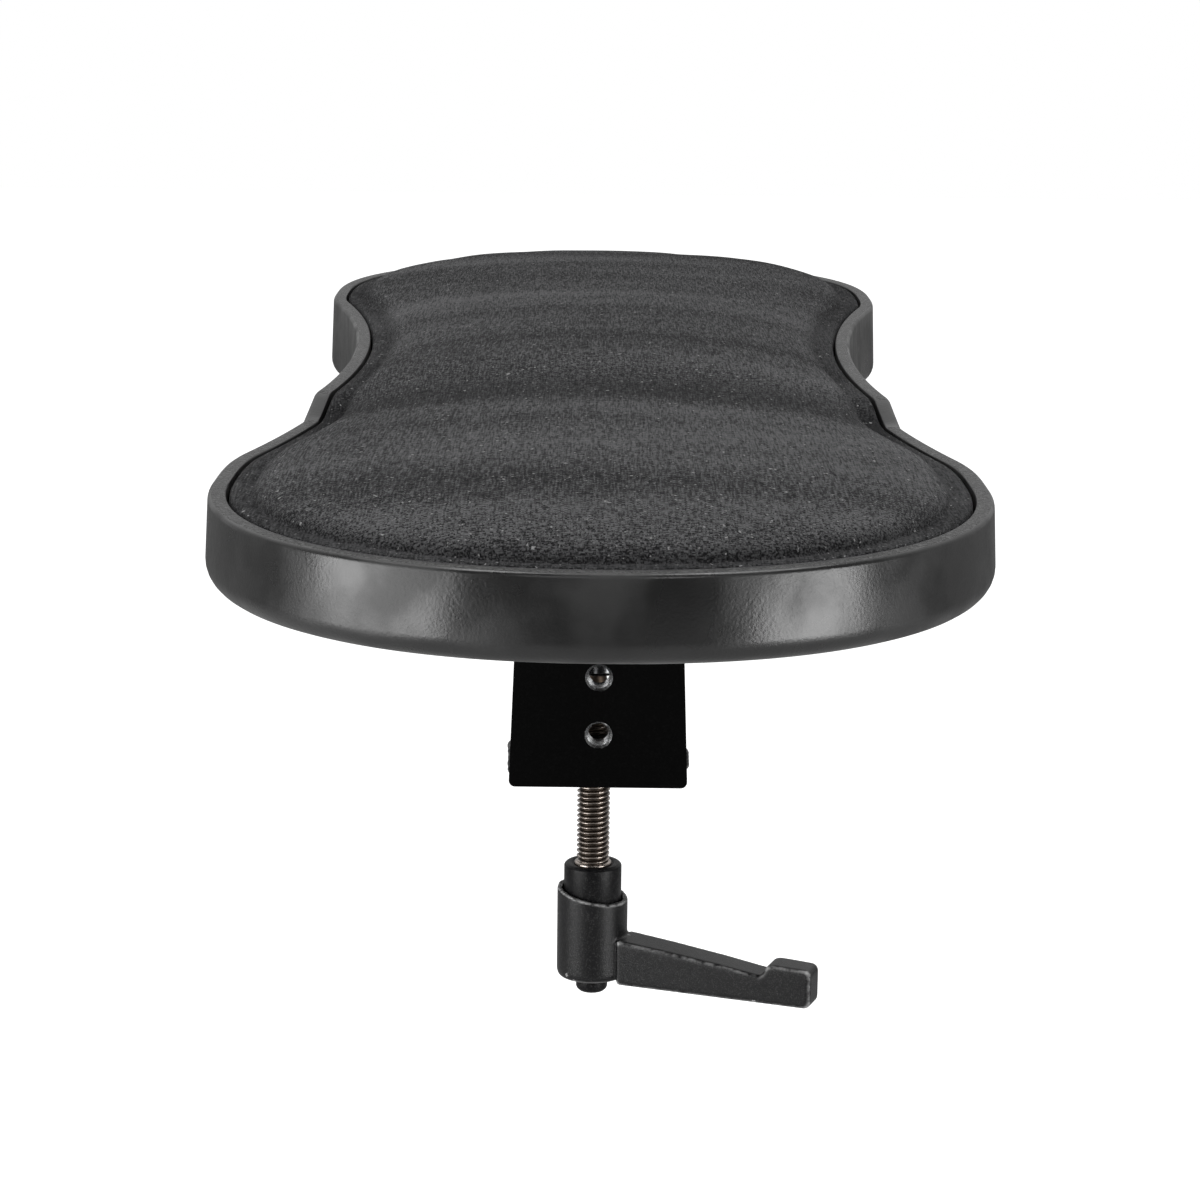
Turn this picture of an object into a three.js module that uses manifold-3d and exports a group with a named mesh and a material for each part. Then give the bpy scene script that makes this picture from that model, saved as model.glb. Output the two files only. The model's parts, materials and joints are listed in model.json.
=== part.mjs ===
// A clamp-on forearm pad: a long fabric cushion in a plastic tray that swivels on a steel C-bracket.
// Millimetres, +Z up. The pad's length lies along Y with its elbow end at -Y.
// The origin is on the swivel axis, in the plane where the upper jaw's rubber rests on a desk top.
import * as THREE from "three";
import { mergeVertices } from "three/addons/utils/BufferGeometryUtils.js";
import Module from "manifold-3d";

const wasm = await Module();
wasm.setup();

// ---- driving dimensions: pad outline ----
const PAD_LENGTH = 456;
const WAIST_HALF = 60.2;
const WAIST_RADIUS = 490;
const WAIST_END = 110; // the waist's arc ends this far from the centre
const LOBE_HALF = 75;
const LOBE_CENTRE = 141; // widest station, measured from the centre
const LOBE_POWER = 2.2; // superellipse exponent of the rounded ends
const RAMP_LOW_Y = -68; // the rim climbs between these two stations
const RAMP_HIGH_Y = -56;
const RAMP_RISE = 4.5;

// ---- driving dimensions: stack of parts on the swivel axis, from the desk up ----
const JAW_PAD_T = 2;
const PLATE_T = 6;
const JAW_NOSE_Y = 27;
const WASHER_T = 1.5;
const SWIVEL_T = 3;
const FLOOR_T = 2.5;
const WALL_H = 16; // tray underside to the low part of the rim
const FLANGE_T = 1.2;
const DISC_SPRING_T = 1.5;
const NUT_WASHER_T = 1.6;
const NUT_H = 8;
const GAP = 0.2; // air between stacked pieces

// ---- driving dimensions: tray wall and cushion ----
const RIM_OUTER = 0.8; // the wall leans, so the rim starts this far inside the outline
const RIM_INNER = 4.2;
const COVER_INSET = 4.8;
const COVER_T = 1.2;
const FOAM_GAP = 0.6;
const CROWN_H = 8.6; // the cushion's middle above the rim beside it
const WRAP_INSET = 15;
const BOARD_INSET = 6.3;
const BOARD_T = 5;
const BOSS_T = 1.3;
const BOSS_OUTER_D = 12;
const NUT_ROOM_D = 28; // hole in the board and the foam that clears the swivel nut
const BUSH_HOLE_D = 11.4;

// ---- driving dimensions: bracket and clamp ----
const SPINE_FRONT_Y = -29.5;
const SPINE_BOTTOM_Z = -62.1;
const SPINE_BOTTOM_W = 41.5;
const SPINE_TOP_W = 36.3;
const ARM_T = 6;
const ARM_HALF = 16.7;
const SPINE_HOLES_Z = [-35.8, -49.5];
const SPINE_HOLE_D = 5.5;
const STUD_X = -1; // the clamp screw stands a little left of the plate's centreline
const STUD_D = 8;
const SIDE_WELD_R = 2.3;
const TOP_WELD_R = 1.7;
const FOOT_TOP_Z = -32;
const BOSS_TOP_Z = -89;
const BOSS_D = 14;
const HUB_D = 17.2;
const HUB_BOTTOM_Z = -117.6;
const SPLINE_TOP_Z = -99.5;
const SPLINE_BOTTOM_Z = -105;
const BUTTON_BOTTOM_Z = -121.6;
const BALL_D = 7.4;
const BALL_Z = -38.6;
const NECK_D = 5.2;
const THREAD_TOP_Z = -44.6;
const FOOT_D = 24;
const FOOT_HUB_D = 14;
const FOOT_BORE_D = 10.4;
const FOOT_BOTTOM_Z = -41.2;
const TILT_CLEARANCE = 0.5; // air that lets the foot tilt on the ball's seat
const LEVER_LENGTH = 57;
const LEVER_BOTTOM_Z = -118;
const LEVER_THICKNESS = 8;
const LEVER_AZIMUTH = THREE.MathUtils.degToRad(-21);
const SLANT_ANGLE = 0.19; // radians: the hub's top falls towards the arm
const SLANT_Z = -96.4;
const SPRING_LOW_Z = -116.4;
const SPRING_HIGH_Z = -108.4;
const SPRING_RADIUS = 3.1;
const SPRING_WIRE_D = 0.8;
const SPRING_TURNS = 3.5;

// ---- levels that follow from the stack ----
const JAW_BOTTOM = JAW_PAD_T + GAP;
const JAW_TOP = JAW_BOTTOM + PLATE_T;
const WASHER_BOTTOM = JAW_TOP + GAP;
const SWIVEL_BOTTOM = WASHER_BOTTOM + WASHER_T + GAP;
const SWIVEL_TOP = SWIVEL_BOTTOM + SWIVEL_T;
const TRAY_BOTTOM = SWIVEL_TOP + 0.3;
const FLOOR_TOP = TRAY_BOTTOM + FLOOR_T;
const RIM_LOW = TRAY_BOTTOM + WALL_H;
const WRAP_BOTTOM = FLOOR_TOP + 0.4;
const BOARD_BOTTOM = WRAP_BOTTOM + COVER_T + GAP;
const BOARD_TOP = BOARD_BOTTOM + BOARD_T;
const FLANGE_BOTTOM = FLOOR_TOP + 0.1;
const SPRING_BOTTOM = FLANGE_BOTTOM + FLANGE_T + GAP;
const NUT_WASHER_BOTTOM = SPRING_BOTTOM + DISC_SPRING_T + GAP;
const NUT_BOTTOM = NUT_WASHER_BOTTOM + NUT_WASHER_T + GAP;
const SPINE_BACK_Y = SPINE_FRONT_Y + PLATE_T;
const ARM_TOP = SPINE_BOTTOM_Z + ARM_T;

// ---- solid helpers ----
function solid(geometry) {
  const bare = geometry.index ? geometry.toNonIndexed() : geometry.clone();
  bare.deleteAttribute("normal");
  bare.deleteAttribute("uv");
  const merged = mergeVertices(bare, 1e-4);
  return new wasm.Manifold(
    new wasm.Mesh({
      numProp: 3,
      vertProperties: new Float32Array(merged.attributes.position.array),
      triVerts: new Uint32Array(merged.index.array),
    }),
  );
}

function geometryOf(manifold) {
  const mesh = manifold.getMesh();
  const geometry = new THREE.BufferGeometry();
  geometry.setAttribute("position", new THREE.BufferAttribute(mesh.vertProperties, 3));
  geometry.setIndex(new THREE.BufferAttribute(mesh.triVerts, 1));
  return geometry;
}

function cut(base, ...tools) {
  return geometryOf(tools.reduce((left, tool) => left.subtract(solid(tool)), solid(base)));
}

function join(first, ...others) {
  return geometryOf(others.reduce((sum, other) => sum.add(solid(other)), solid(first)));
}

function common(first, ...others) {
  return geometryOf(others.reduce((left, other) => left.intersect(solid(other)), solid(first)));
}

// A profile of [radius, z] pairs turned round the Z axis. It runs upwards on the outside.
function turned(profile, segments = 24) {
  const points = profile.map(([radius, z]) => new THREE.Vector2(radius, z));
  return new THREE.LatheGeometry(points, segments).rotateX(Math.PI / 2);
}

function rod(diameter, bottom, top, segments = 24) {
  const r = diameter / 2;
  return turned([[0, bottom], [r, bottom], [r, top], [0, top]], segments);
}

function ring(inner, outer, bottom, top, segments = 24) {
  const ri = inner / 2;
  const ro = outer / 2;
  return turned([[ri, bottom], [ro, bottom], [ro, top], [ri, top], [ri, bottom]], segments);
}

// A plan outline pushed up from bottom to top.
function slab(shape, bottom, top, curveSegments = 8) {
  const depth = top - bottom;
  const block = new THREE.ExtrudeGeometry(shape, { depth, bevelEnabled: false, curveSegments });
  return block.translate(0, 0, bottom);
}

function roundedRectangle(width, length, radius, centreY = 0) {
  const x = width / 2 - radius;
  const y = length / 2 - radius;
  const shape = new THREE.Shape();
  shape.absarc(x, centreY - y, radius, -Math.PI / 2, 0);
  shape.absarc(x, centreY + y, radius, 0, Math.PI / 2);
  shape.absarc(-x, centreY + y, radius, Math.PI / 2, Math.PI);
  shape.absarc(-x, centreY - y, radius, Math.PI, Math.PI * 1.5);
  return shape;
}

function star(teeth, rootRadius, tipRadius) {
  const shape = new THREE.Shape();
  for (let i = 0; i < teeth * 2; i++) {
    const angle = (i * Math.PI) / teeth;
    const radius = i % 2 ? rootRadius : tipRadius;
    const [x, y] = [radius * Math.cos(angle), radius * Math.sin(angle)];
    if (i) shape.lineTo(x, y);
    else shape.moveTo(x, y);
  }
  return shape;
}

// ---- pad outline: a concave waist arc, a blend, and superellipse ends ----
function halfWidth(s) {
  if (s <= WAIST_END) return WAIST_HALF + WAIST_RADIUS - Math.sqrt(WAIST_RADIUS ** 2 - s ** 2);
  const span = LOBE_CENTRE - WAIST_END;
  const t = (s - WAIST_END) / span;
  const start = halfWidth(WAIST_END);
  const slope = WAIST_END / Math.sqrt(WAIST_RADIUS ** 2 - WAIST_END ** 2);
  const rise = 3 * t ** 2 - 2 * t ** 3;
  return start + (LOBE_HALF - start) * rise + slope * span * (t ** 3 - 2 * t ** 2 + t);
}

function quarterOutline() {
  const breaks = [0, -RAMP_HIGH_Y, -RAMP_LOW_Y, WAIST_END, LOBE_CENTRE];
  const steps = [4, 1, 3, 2];
  const points = [];
  steps.forEach((count, i) => {
    for (let k = 0; k < count; k++) {
      const s = THREE.MathUtils.lerp(breaks[i], breaks[i + 1], k / count);
      points.push([halfWidth(s), s]);
    }
  });
  const endSteps = 8;
  const endLength = PAD_LENGTH / 2 - LOBE_CENTRE;
  for (let k = 0; k < endSteps; k++) {
    const angle = (k / endSteps) * (Math.PI / 2);
    const x = LOBE_HALF * Math.cos(angle) ** (2 / LOBE_POWER);
    const s = LOBE_CENTRE + endLength * Math.sin(angle) ** (2 / LOBE_POWER);
    points.push([x, s]);
  }
  return points;
}

// The full outline, counter-clockwise from (+waist, 0), with its outward normals.
function padOutline() {
  const quarter = quarterOutline();
  const tip = [0, PAD_LENGTH / 2];
  const upperLeft = quarter.slice(1).reverse().map(([x, y]) => [-x, y]);
  const half = [...quarter, tip, ...upperLeft];
  const points = [...half, ...half.map(([x, y]) => [-x, -y])];
  return points.map(([x, y], i) => {
    const [x0, y0] = points.at(i - 1);
    const [x1, y1] = points[(i + 1) % points.length];
    const length = Math.hypot(x1 - x0, y1 - y0);
    return { x, y, nx: (y1 - y0) / length, ny: (x0 - x1) / length };
  });
}

const OUTLINE = padOutline();

// How far the rim and the cushion stand above their low level at station y.
function rimRise(y) {
  return RAMP_RISE * THREE.MathUtils.smoothstep(y, RAMP_LOW_Y, RAMP_HIGH_Y);
}

// A closed solid from rows of the outline. A row is { inset, z, climbs }, and one with no inset is a single
// point on the axis. Rows run from the bottom centre outwards, up, and back in. Climbing rows follow the
// ramp.
function lofted(rows, closed = false) {
  const count = OUTLINE.length;
  const positions = [];
  const starts = [];
  const index = [];
  for (const { inset, z, climbs } of rows) {
    starts.push(positions.length / 3);
    const ringPoints = inset === undefined ? [{ x: 0, y: 0, nx: 0, ny: 0 }] : OUTLINE;
    for (const { x, y, nx, ny } of ringPoints) {
      const py = y - ny * (inset ?? 0);
      positions.push(x - nx * (inset ?? 0), py, climbs ? z + rimRise(py) : z);
    }
  }
  const pairs = rows.slice(1).map((row, i) => [i, i + 1]);
  if (closed) pairs.push([rows.length - 1, 0]);
  for (const [lower, upper] of pairs) {
    for (let i = 0; i < count; i++) {
      const j = (i + 1) % count;
      const a = starts[lower] + (rows[lower].inset === undefined ? 0 : i);
      const b = starts[lower] + (rows[lower].inset === undefined ? 0 : j);
      const c = starts[upper] + (rows[upper].inset === undefined ? 0 : i);
      const d = starts[upper] + (rows[upper].inset === undefined ? 0 : j);
      if (a !== b) index.push(a, b, d);
      if (c !== d) index.push(a, d, c);
    }
  }
  const geometry = new THREE.BufferGeometry();
  geometry.setAttribute("position", new THREE.Float32BufferAttribute(positions, 3));
  geometry.setIndex(index);
  return geometry;
}

// Rows of the cushion's top from edge to centre, sunk and drawn in by the same amount below the outer skin.
function cushionRows(sink) {
  const crown = [[COVER_INSET, -0.8], [9.5, 0.2], [12, 3.2], [17, 5.6], [26, 7.4], [40, CROWN_H - 0.2]];
  const rows = crown.map(([inset, z]) => ({ inset: inset + sink, z: RIM_LOW + z - sink, climbs: true }));
  return [...rows, { z: RIM_LOW + CROWN_H - sink, climbs: true }];
}

// ---- fasteners' places ----
const PLATE_SCREWS = [[-24, -42], [24, -42], [-24, 42], [24, 42]];
const BOARD_SCREWS = [[-35, -130], [35, -130], [-35, 130], [35, 130]];

// ---- pad parts ----
function tray() {
  const bowl = lofted([
    { z: TRAY_BOTTOM },
    { inset: 4.5, z: TRAY_BOTTOM },
    { inset: 1.9, z: TRAY_BOTTOM + 0.8 },
    { inset: 0.6, z: TRAY_BOTTOM + 2.1 },
    { inset: 0, z: TRAY_BOTTOM + 4 },
    { inset: RIM_OUTER, z: RIM_LOW - 0.6, climbs: true },
    { inset: RIM_OUTER + 0.6, z: RIM_LOW, climbs: true },
    { inset: RIM_INNER, z: RIM_LOW, climbs: true },
    { inset: RIM_INNER, z: FLOOR_TOP + 1.5 },
    { inset: RIM_INNER + 0.6, z: FLOOR_TOP },
    { z: FLOOR_TOP },
  ]);
  const bosses = [...PLATE_SCREWS, ...BOARD_SCREWS].map(([x, y]) =>
    rod(BOSS_OUTER_D, FLOOR_TOP - 1, FLOOR_TOP + BOSS_T, 16).translate(x, y, 0),
  );
  const holes = [
    rod(BUSH_HOLE_D, TRAY_BOTTOM - 1, FLOOR_TOP + 1),
    ...PLATE_SCREWS.map(([x, y]) => rod(5.4, TRAY_BOTTOM - 1, BOARD_BOTTOM, 16).translate(x, y, 0)),
    ...BOARD_SCREWS.map(([x, y]) => rod(4.2, TRAY_BOTTOM - 1, BOARD_BOTTOM, 16).translate(x, y, 0)),
  ];
  return cut(join(bowl, ...bosses), ...holes);
}

function fabricCover() {
  const outer = cushionRows(0);
  const inner = cushionRows(COVER_T).reverse();
  return lofted([
    ...inner,
    { inset: COVER_INSET + COVER_T, z: WRAP_BOTTOM + COVER_T },
    { inset: WRAP_INSET, z: WRAP_BOTTOM + COVER_T },
    { inset: WRAP_INSET, z: WRAP_BOTTOM },
    { inset: COVER_INSET, z: WRAP_BOTTOM },
    ...outer,
  ]);
}

function foamCore() {
  const bottom = BOARD_TOP + GAP;
  const foam = lofted([{ z: bottom }, { inset: BOARD_INSET, z: bottom }, ...cushionRows(COVER_T + FOAM_GAP)]);
  return cut(foam, rod(NUT_ROOM_D, BOARD_TOP - 1, NUT_BOTTOM + NUT_H + 3));
}

function baseBoard() {
  const board = lofted([
    { z: BOARD_BOTTOM },
    { inset: BOARD_INSET, z: BOARD_BOTTOM },
    { inset: BOARD_INSET, z: BOARD_TOP },
    { z: BOARD_TOP },
  ]);
  const pilots = BOARD_SCREWS.map(([x, y]) =>
    rod(3.9, BOARD_BOTTOM - 1, BOARD_TOP - 0.6, 12).translate(x, y, 0),
  );
  return cut(board, rod(NUT_ROOM_D, BOARD_BOTTOM - 1, BOARD_TOP + 1), ...pilots);
}

function swivelPlate() {
  const holes = PLATE_SCREWS.map(([x, y]) =>
    turned([[0, 9], [5.9, 9], [2.7, SWIVEL_BOTTOM + 2.3], [2.7, 14], [0, 14]], 16).translate(x, y, 0),
  );
  const plate = slab(roundedRectangle(70, 110, 8), SWIVEL_BOTTOM, SWIVEL_TOP, 4);
  return cut(plate, rod(BUSH_HOLE_D, SWIVEL_BOTTOM - 1, SWIVEL_TOP + 1), ...holes);
}

function plateScrew() {
  const head = SWIVEL_BOTTOM + 0.1;
  const top = FLOOR_TOP + BOSS_T - 0.4;
  const profile = [[0, head], [4.3, head], [4.3, head + 0.3], [2.4, head + 2.2], [2.4, top], [0, top]];
  return cut(turned(profile, 16), rod(2.6, head - 1, head + 1.4, 6));
}

function boardScrew() {
  const head = TRAY_BOTTOM - 2.3;
  const tip = BOARD_TOP - 1;
  const body = turned(
    [[0, head], [2.6, head], [4, head + 0.8], [4, head + 2.1], [1.8, head + 2.1], [1.8, tip - 1.5], [0, tip]],
    16,
  );
  return cut(body, rod(2.6, head - 1, head + 1.2, 6));
}

function pivotBush() {
  return turned([
    [4.2, SWIVEL_BOTTOM],
    [5.5, SWIVEL_BOTTOM],
    [5.5, FLANGE_BOTTOM],
    [9, FLANGE_BOTTOM],
    [9, FLANGE_BOTTOM + FLANGE_T],
    [4.2, FLANGE_BOTTOM + FLANGE_T],
    [4.2, SWIVEL_BOTTOM],
  ]);
}

// ---- swivel hardware that stays with the bracket ----
function pivotBolt() {
  const head = JAW_BOTTOM + 0.1;
  const top = NUT_BOTTOM + NUT_H + 0.8;
  const rim = 7.4;
  const shank = 4;
  const body = turned([
    [0, head],
    [rim, head],
    [rim, head + 0.4],
    [shank, head + 3.8],
    [shank, top - 1],
    [shank - 0.8, top],
    [0, top],
  ]);
  return cut(body, rod(5.8, head - 1, head + 2.5, 6));
}

function discSpring() {
  const z = SPRING_BOTTOM;
  return turned([[4.3, z + 0.6], [8, z], [8, z + 0.9], [4.3, z + DISC_SPRING_T], [4.3, z + 0.6]]);
}

function lockNut() {
  const top = NUT_BOTTOM + NUT_H;
  const hex = rod(13 / Math.cos(Math.PI / 6), NUT_BOTTOM, top - 2, 6);
  const collar = turned([[0, top - 2.5], [6.2, top - 2.5], [6.2, top - 0.8], [5.4, top], [0, top]]);
  return cut(join(hex, collar), rod(8.4, NUT_BOTTOM - 1, top + 1));
}

// ---- bracket: one strip of plate bent over into the upper jaw ----
function bracket() {
  const width = SPINE_BOTTOM_W + 4;
  const side = new THREE.Shape();
  const outerR = 9;
  const innerR = outerR - PLATE_T;
  side.moveTo(SPINE_FRONT_Y, SPINE_BOTTOM_Z);
  side.lineTo(SPINE_BACK_Y, SPINE_BOTTOM_Z);
  side.lineTo(SPINE_BACK_Y, JAW_BOTTOM - innerR);
  side.absarc(SPINE_BACK_Y + innerR, JAW_BOTTOM - innerR, innerR, Math.PI, Math.PI / 2, true);
  side.lineTo(JAW_NOSE_Y, JAW_BOTTOM);
  side.lineTo(JAW_NOSE_Y, JAW_TOP);
  side.absarc(SPINE_FRONT_Y + outerR, JAW_TOP - outerR, outerR, Math.PI / 2, Math.PI);
  // The side outline is drawn in (y, z): this turn sends its plane to YZ and its depth to +X.
  const strip = new THREE.ExtrudeGeometry(side, { depth: width, bevelEnabled: false, curveSegments: 6 });
  strip.applyMatrix4(new THREE.Matrix4().set(0, 0, 1, -width / 2, 1, 0, 0, 0, 0, 1, 0, 0, 0, 0, 0, 1));

  const face = new THREE.Shape();
  const corner = 1.5;
  const half = SPINE_BOTTOM_W / 2;
  face.moveTo(-half + corner, SPINE_BOTTOM_Z);
  face.absarc(half - corner, SPINE_BOTTOM_Z + corner, corner, -Math.PI / 2, 0);
  face.lineTo(SPINE_TOP_W / 2, JAW_TOP + 1);
  face.lineTo(-SPINE_TOP_W / 2, JAW_TOP + 1);
  face.absarc(-half + corner, SPINE_BOTTOM_Z + corner, corner, Math.PI, Math.PI * 1.5);
  const front = new THREE.ExtrudeGeometry(face, { depth: 80, bevelEnabled: false, curveSegments: 4 });
  front.rotateX(Math.PI / 2).translate(0, 40, 0);

  const floor = SPINE_BOTTOM_Z - 1;
  const ceiling = JAW_TOP + 1;
  const roundNose = slab(roundedRectangle(width, 2 * JAW_NOSE_Y + 8, 16, -4), floor, ceiling, 5);
  const squareHeel = slab(roundedRectangle(width, 40, 1, -20), floor, ceiling, 1);
  const blank = common(strip, front, join(roundNose, squareHeel));

  const r = SPINE_HOLE_D / 2;
  const holes = SPINE_HOLES_Z.map((z) =>
    turned([[0, -1], [r + 1.4, -1], [r, 0.5], [r, PLATE_T + 1], [0, PLATE_T + 1]])
      .rotateX(-Math.PI / 2)
      .translate(0, SPINE_FRONT_Y, z),
  );
  const bolt = 4.25;
  const sink = turned([
    [0, JAW_BOTTOM - 1],
    [8, JAW_BOTTOM - 1],
    [7.7, JAW_BOTTOM + 0.4],
    [bolt, JAW_BOTTOM + 4.1],
    [bolt, ceiling],
    [0, ceiling],
  ]);
  return cut(blank, sink, ...holes);
}

function jawPad() {
  return slab(roundedRectangle(34, 44, 4, 3), 0, JAW_PAD_T, 4);
}

function lowerArm() {
  const noseR = 14;
  const shape = new THREE.Shape();
  shape.moveTo(-ARM_HALF, SPINE_BACK_Y + GAP);
  shape.lineTo(ARM_HALF, SPINE_BACK_Y + GAP);
  shape.lineTo(ARM_HALF, -12);
  shape.absarc(STUD_X, 0, noseR, 0, Math.PI);
  shape.lineTo(-ARM_HALF, -12);
  return cut(slab(shape, SPINE_BOTTOM_Z, ARM_TOP, 12), rod(STUD_D + 0.5, -70, -50).translate(STUD_X, 0, 0));
}

// A lumpy bead of weld along Z.
function weldBead(radius, bottom, top) {
  const lumps = 3;
  const rows = lumps * 4;
  const profile = [[0, bottom]];
  for (let i = 1; i < rows; i++) {
    const t = i / rows;
    const ripple = 0.88 + 0.12 * Math.cos(t * lumps * 2 * Math.PI + Math.PI);
    profile.push([radius * ripple * Math.sin(Math.PI * t) ** 0.35, THREE.MathUtils.lerp(bottom, top, t)]);
  }
  profile.push([0, top]);
  return turned(profile, 12);
}

// ---- clamp screw, its foot and its handle: all on the screw's own axis ----
function ballSeat() {
  const inner = BALL_D + 0.5;
  const outer = FOOT_BORE_D - 2 * TILT_CLEARANCE;
  return ring(inner, outer, FOOT_BOTTOM_Z + 0.2, BALL_Z + BALL_D / 2 - TILT_CLEARANCE - 0.1);
}

function pressureFoot() {
  const hub = FOOT_HUB_D / 2;
  const plate = FOOT_D / 2;
  const plateTop = FOOT_TOP_Z - 1.7;
  const plateBottom = plateTop - 2.9;
  const body = turned([
    [0, FOOT_BOTTOM_Z],
    [hub - 0.8, FOOT_BOTTOM_Z],
    [hub, FOOT_BOTTOM_Z + 0.8],
    [hub, plateBottom],
    [plate - 0.6, plateBottom],
    [plate, plateBottom + 0.6],
    [plate, plateTop],
    [0, plateTop],
  ]);
  return cut(body, rod(FOOT_BORE_D, FOOT_BOTTOM_Z - 1, BALL_Z + BALL_D / 2));
}

function footPad() {
  const r = FOOT_D / 2 - 0.5;
  const bottom = FOOT_TOP_Z - 1.5;
  return turned([[0, bottom], [r, bottom], [r, FOOT_TOP_Z - 0.4], [r - 0.5, FOOT_TOP_Z], [0, FOOT_TOP_Z]]);
}

function clampStud() {
  const ballR = BALL_D / 2;
  const r = STUD_D / 2;
  const neck = NECK_D / 2;
  const bottom = BOSS_TOP_Z - 9.8;
  const threaded = [[0, bottom], [r - 0.7, bottom], [r, bottom + 0.8], [r, THREAD_TOP_Z]];
  const profile = [...threaded, [neck, THREAD_TOP_Z + 1.2]];
  const from = -Math.acos(neck / ballR);
  for (let i = 0; i < 8; i++) {
    const angle = THREE.MathUtils.lerp(from, Math.PI / 2, i / 8);
    profile.push([ballR * Math.cos(angle), BALL_Z + ballR * Math.sin(angle)]);
  }
  profile.push([0, BALL_Z + ballR]);
  return turned(profile);
}

function handleInsert() {
  const r = BOSS_D / 2;
  const collar = turned([
    [0, SPLINE_TOP_Z],
    [r, SPLINE_TOP_Z],
    [r, BOSS_TOP_Z - 0.6],
    [r - 0.6, BOSS_TOP_Z],
    [0, BOSS_TOP_Z],
  ]);
  const spline = slab(star(16, 4.7, 5.5), SPLINE_BOTTOM_Z, SPLINE_TOP_Z + 0.5);
  const bore = rod(STUD_D + 0.4, BOSS_TOP_Z - 10, BOSS_TOP_Z + 1);
  return cut(join(collar, spline), bore, rod(4.3, SPLINE_BOTTOM_Z - 1, SPLINE_BOTTOM_Z + 3.5, 16));
}

function handleScrew() {
  const top = SPLINE_BOTTOM_Z + 3;
  const neck = BUTTON_BOTTOM_Z + 4.4;
  const bottom = BUTTON_BOTTOM_Z;
  const r = 3.85;
  const shank = 2;
  const head = [[0, bottom], [r - 0.85, bottom], [r, bottom + 0.9], [r, neck]];
  const profile = [...head, [shank, neck], [shank, top], [0, top]];
  return cut(turned(profile, 20), rod(3.4, bottom - 1, bottom + 2, 6));
}

class Helix extends THREE.Curve {
  getPoint(t, target = new THREE.Vector3()) {
    const angle = t * SPRING_TURNS * 2 * Math.PI;
    const z = THREE.MathUtils.lerp(SPRING_LOW_Z, SPRING_HIGH_Z, t);
    return target.set(SPRING_RADIUS * Math.cos(angle), SPRING_RADIUS * Math.sin(angle), z);
  }
}

function handleSpring() {
  const wire = new THREE.Shape();
  wire.absarc(0, 0, SPRING_WIRE_D / 2, 0, 2 * Math.PI);
  return new THREE.ExtrudeGeometry(wire, { steps: 36, extrudePath: new Helix(), curveSegments: 3 });
}

// The lever: a hub with a slanted top, and an arm whose side outline runs down to a notch and up to a thumb
// rest.
function clampLever() {
  const r = HUB_D / 2;
  const hub = turned([
    [0, HUB_BOTTOM_Z],
    [r - 1.6, HUB_BOTTOM_Z],
    [r, HUB_BOTTOM_Z + 1.6],
    [r, -93],
    [0, -93],
  ], 32);
  const slant = new THREE.BoxGeometry(40, 40, 12).translate(0, 0, 6);
  slant.rotateY(SLANT_ANGLE).translate(0, 0, SLANT_Z);

  const edge = 1.3;
  const side = new THREE.Shape();
  const bottom = LEVER_BOTTOM_Z + edge;
  side.moveTo(0, bottom);
  side.lineTo(LEVER_LENGTH - 2 - edge, bottom);
  side.absarc(LEVER_LENGTH - 1.6 - edge, bottom + 1.6, 1.6, -Math.PI / 2, 0);
  side.absarc(LEVER_LENGTH - 1.6 - edge, -109.9 - edge, 1.6, 0, Math.PI / 2);
  side.lineTo(47.5, -108.3 - edge);
  side.quadraticCurveTo(46.2, -108.3 - edge, 45.6, -109.4 - edge);
  side.quadraticCurveTo(44.8, -110.9 - edge, 43, -110.7 - edge);
  side.lineTo(33.5, -109.4 - edge);
  side.lineTo(0, -106.2 - edge);
  const arm = new THREE.ExtrudeGeometry(side, {
    depth: LEVER_THICKNESS - 2 * edge,
    bevelSize: edge,
    bevelThickness: edge,
    bevelSegments: 2,
    curveSegments: 4,
  });
  arm.translate(0, 0, -(LEVER_THICKNESS / 2 - edge)).rotateX(Math.PI / 2);

  const boss = rod(BOSS_D + 0.6, SPLINE_TOP_Z - 0.2, -90, 32);
  const spline = slab(star(16, 5, 5.8), -105.3, -99);
  const web = rod(4.8, -110, -100, 16);
  const well = rod(9, HUB_BOTTOM_Z - 2, -107.5, 20);
  return cut(join(hub, arm), slant, boss, spline, web, well);
}

// ---- finishes ----
const FINISH = {
  fabric: { color: 0x3a3b3d, roughness: 0.95, metalness: 0 },
  foam: { color: 0xd8d2b8, roughness: 1, metalness: 0 },
  plywood: { color: 0xb48a5a, roughness: 0.8, metalness: 0 },
  tray: { color: 0x1b1c1e, roughness: 0.45, metalness: 0 },
  powder: { color: 0x0c0c0d, roughness: 0.5, metalness: 0.1 },
  castHandle: { color: 0x1e1f21, roughness: 0.5, metalness: 0.3 },
  steel: { color: 0x8a8178, roughness: 0.35, metalness: 1 },
  zinc: { color: 0xb9bcc0, roughness: 0.3, metalness: 1 },
  weld: { color: 0x2a2725, roughness: 0.5, metalness: 0.6 },
  nylon: { color: 0xe6e3d8, roughness: 0.6, metalness: 0 },
  rubber: { color: 0x151515, roughness: 0.9, metalness: 0 },
};

function piece(name, geometry, finish) {
  const mesh = new THREE.Mesh(geometry, new THREE.MeshStandardMaterial(FINISH[finish]));
  mesh.name = name;
  return mesh;
}

// ---- assembly ----
const armrest = new THREE.Group();

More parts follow.
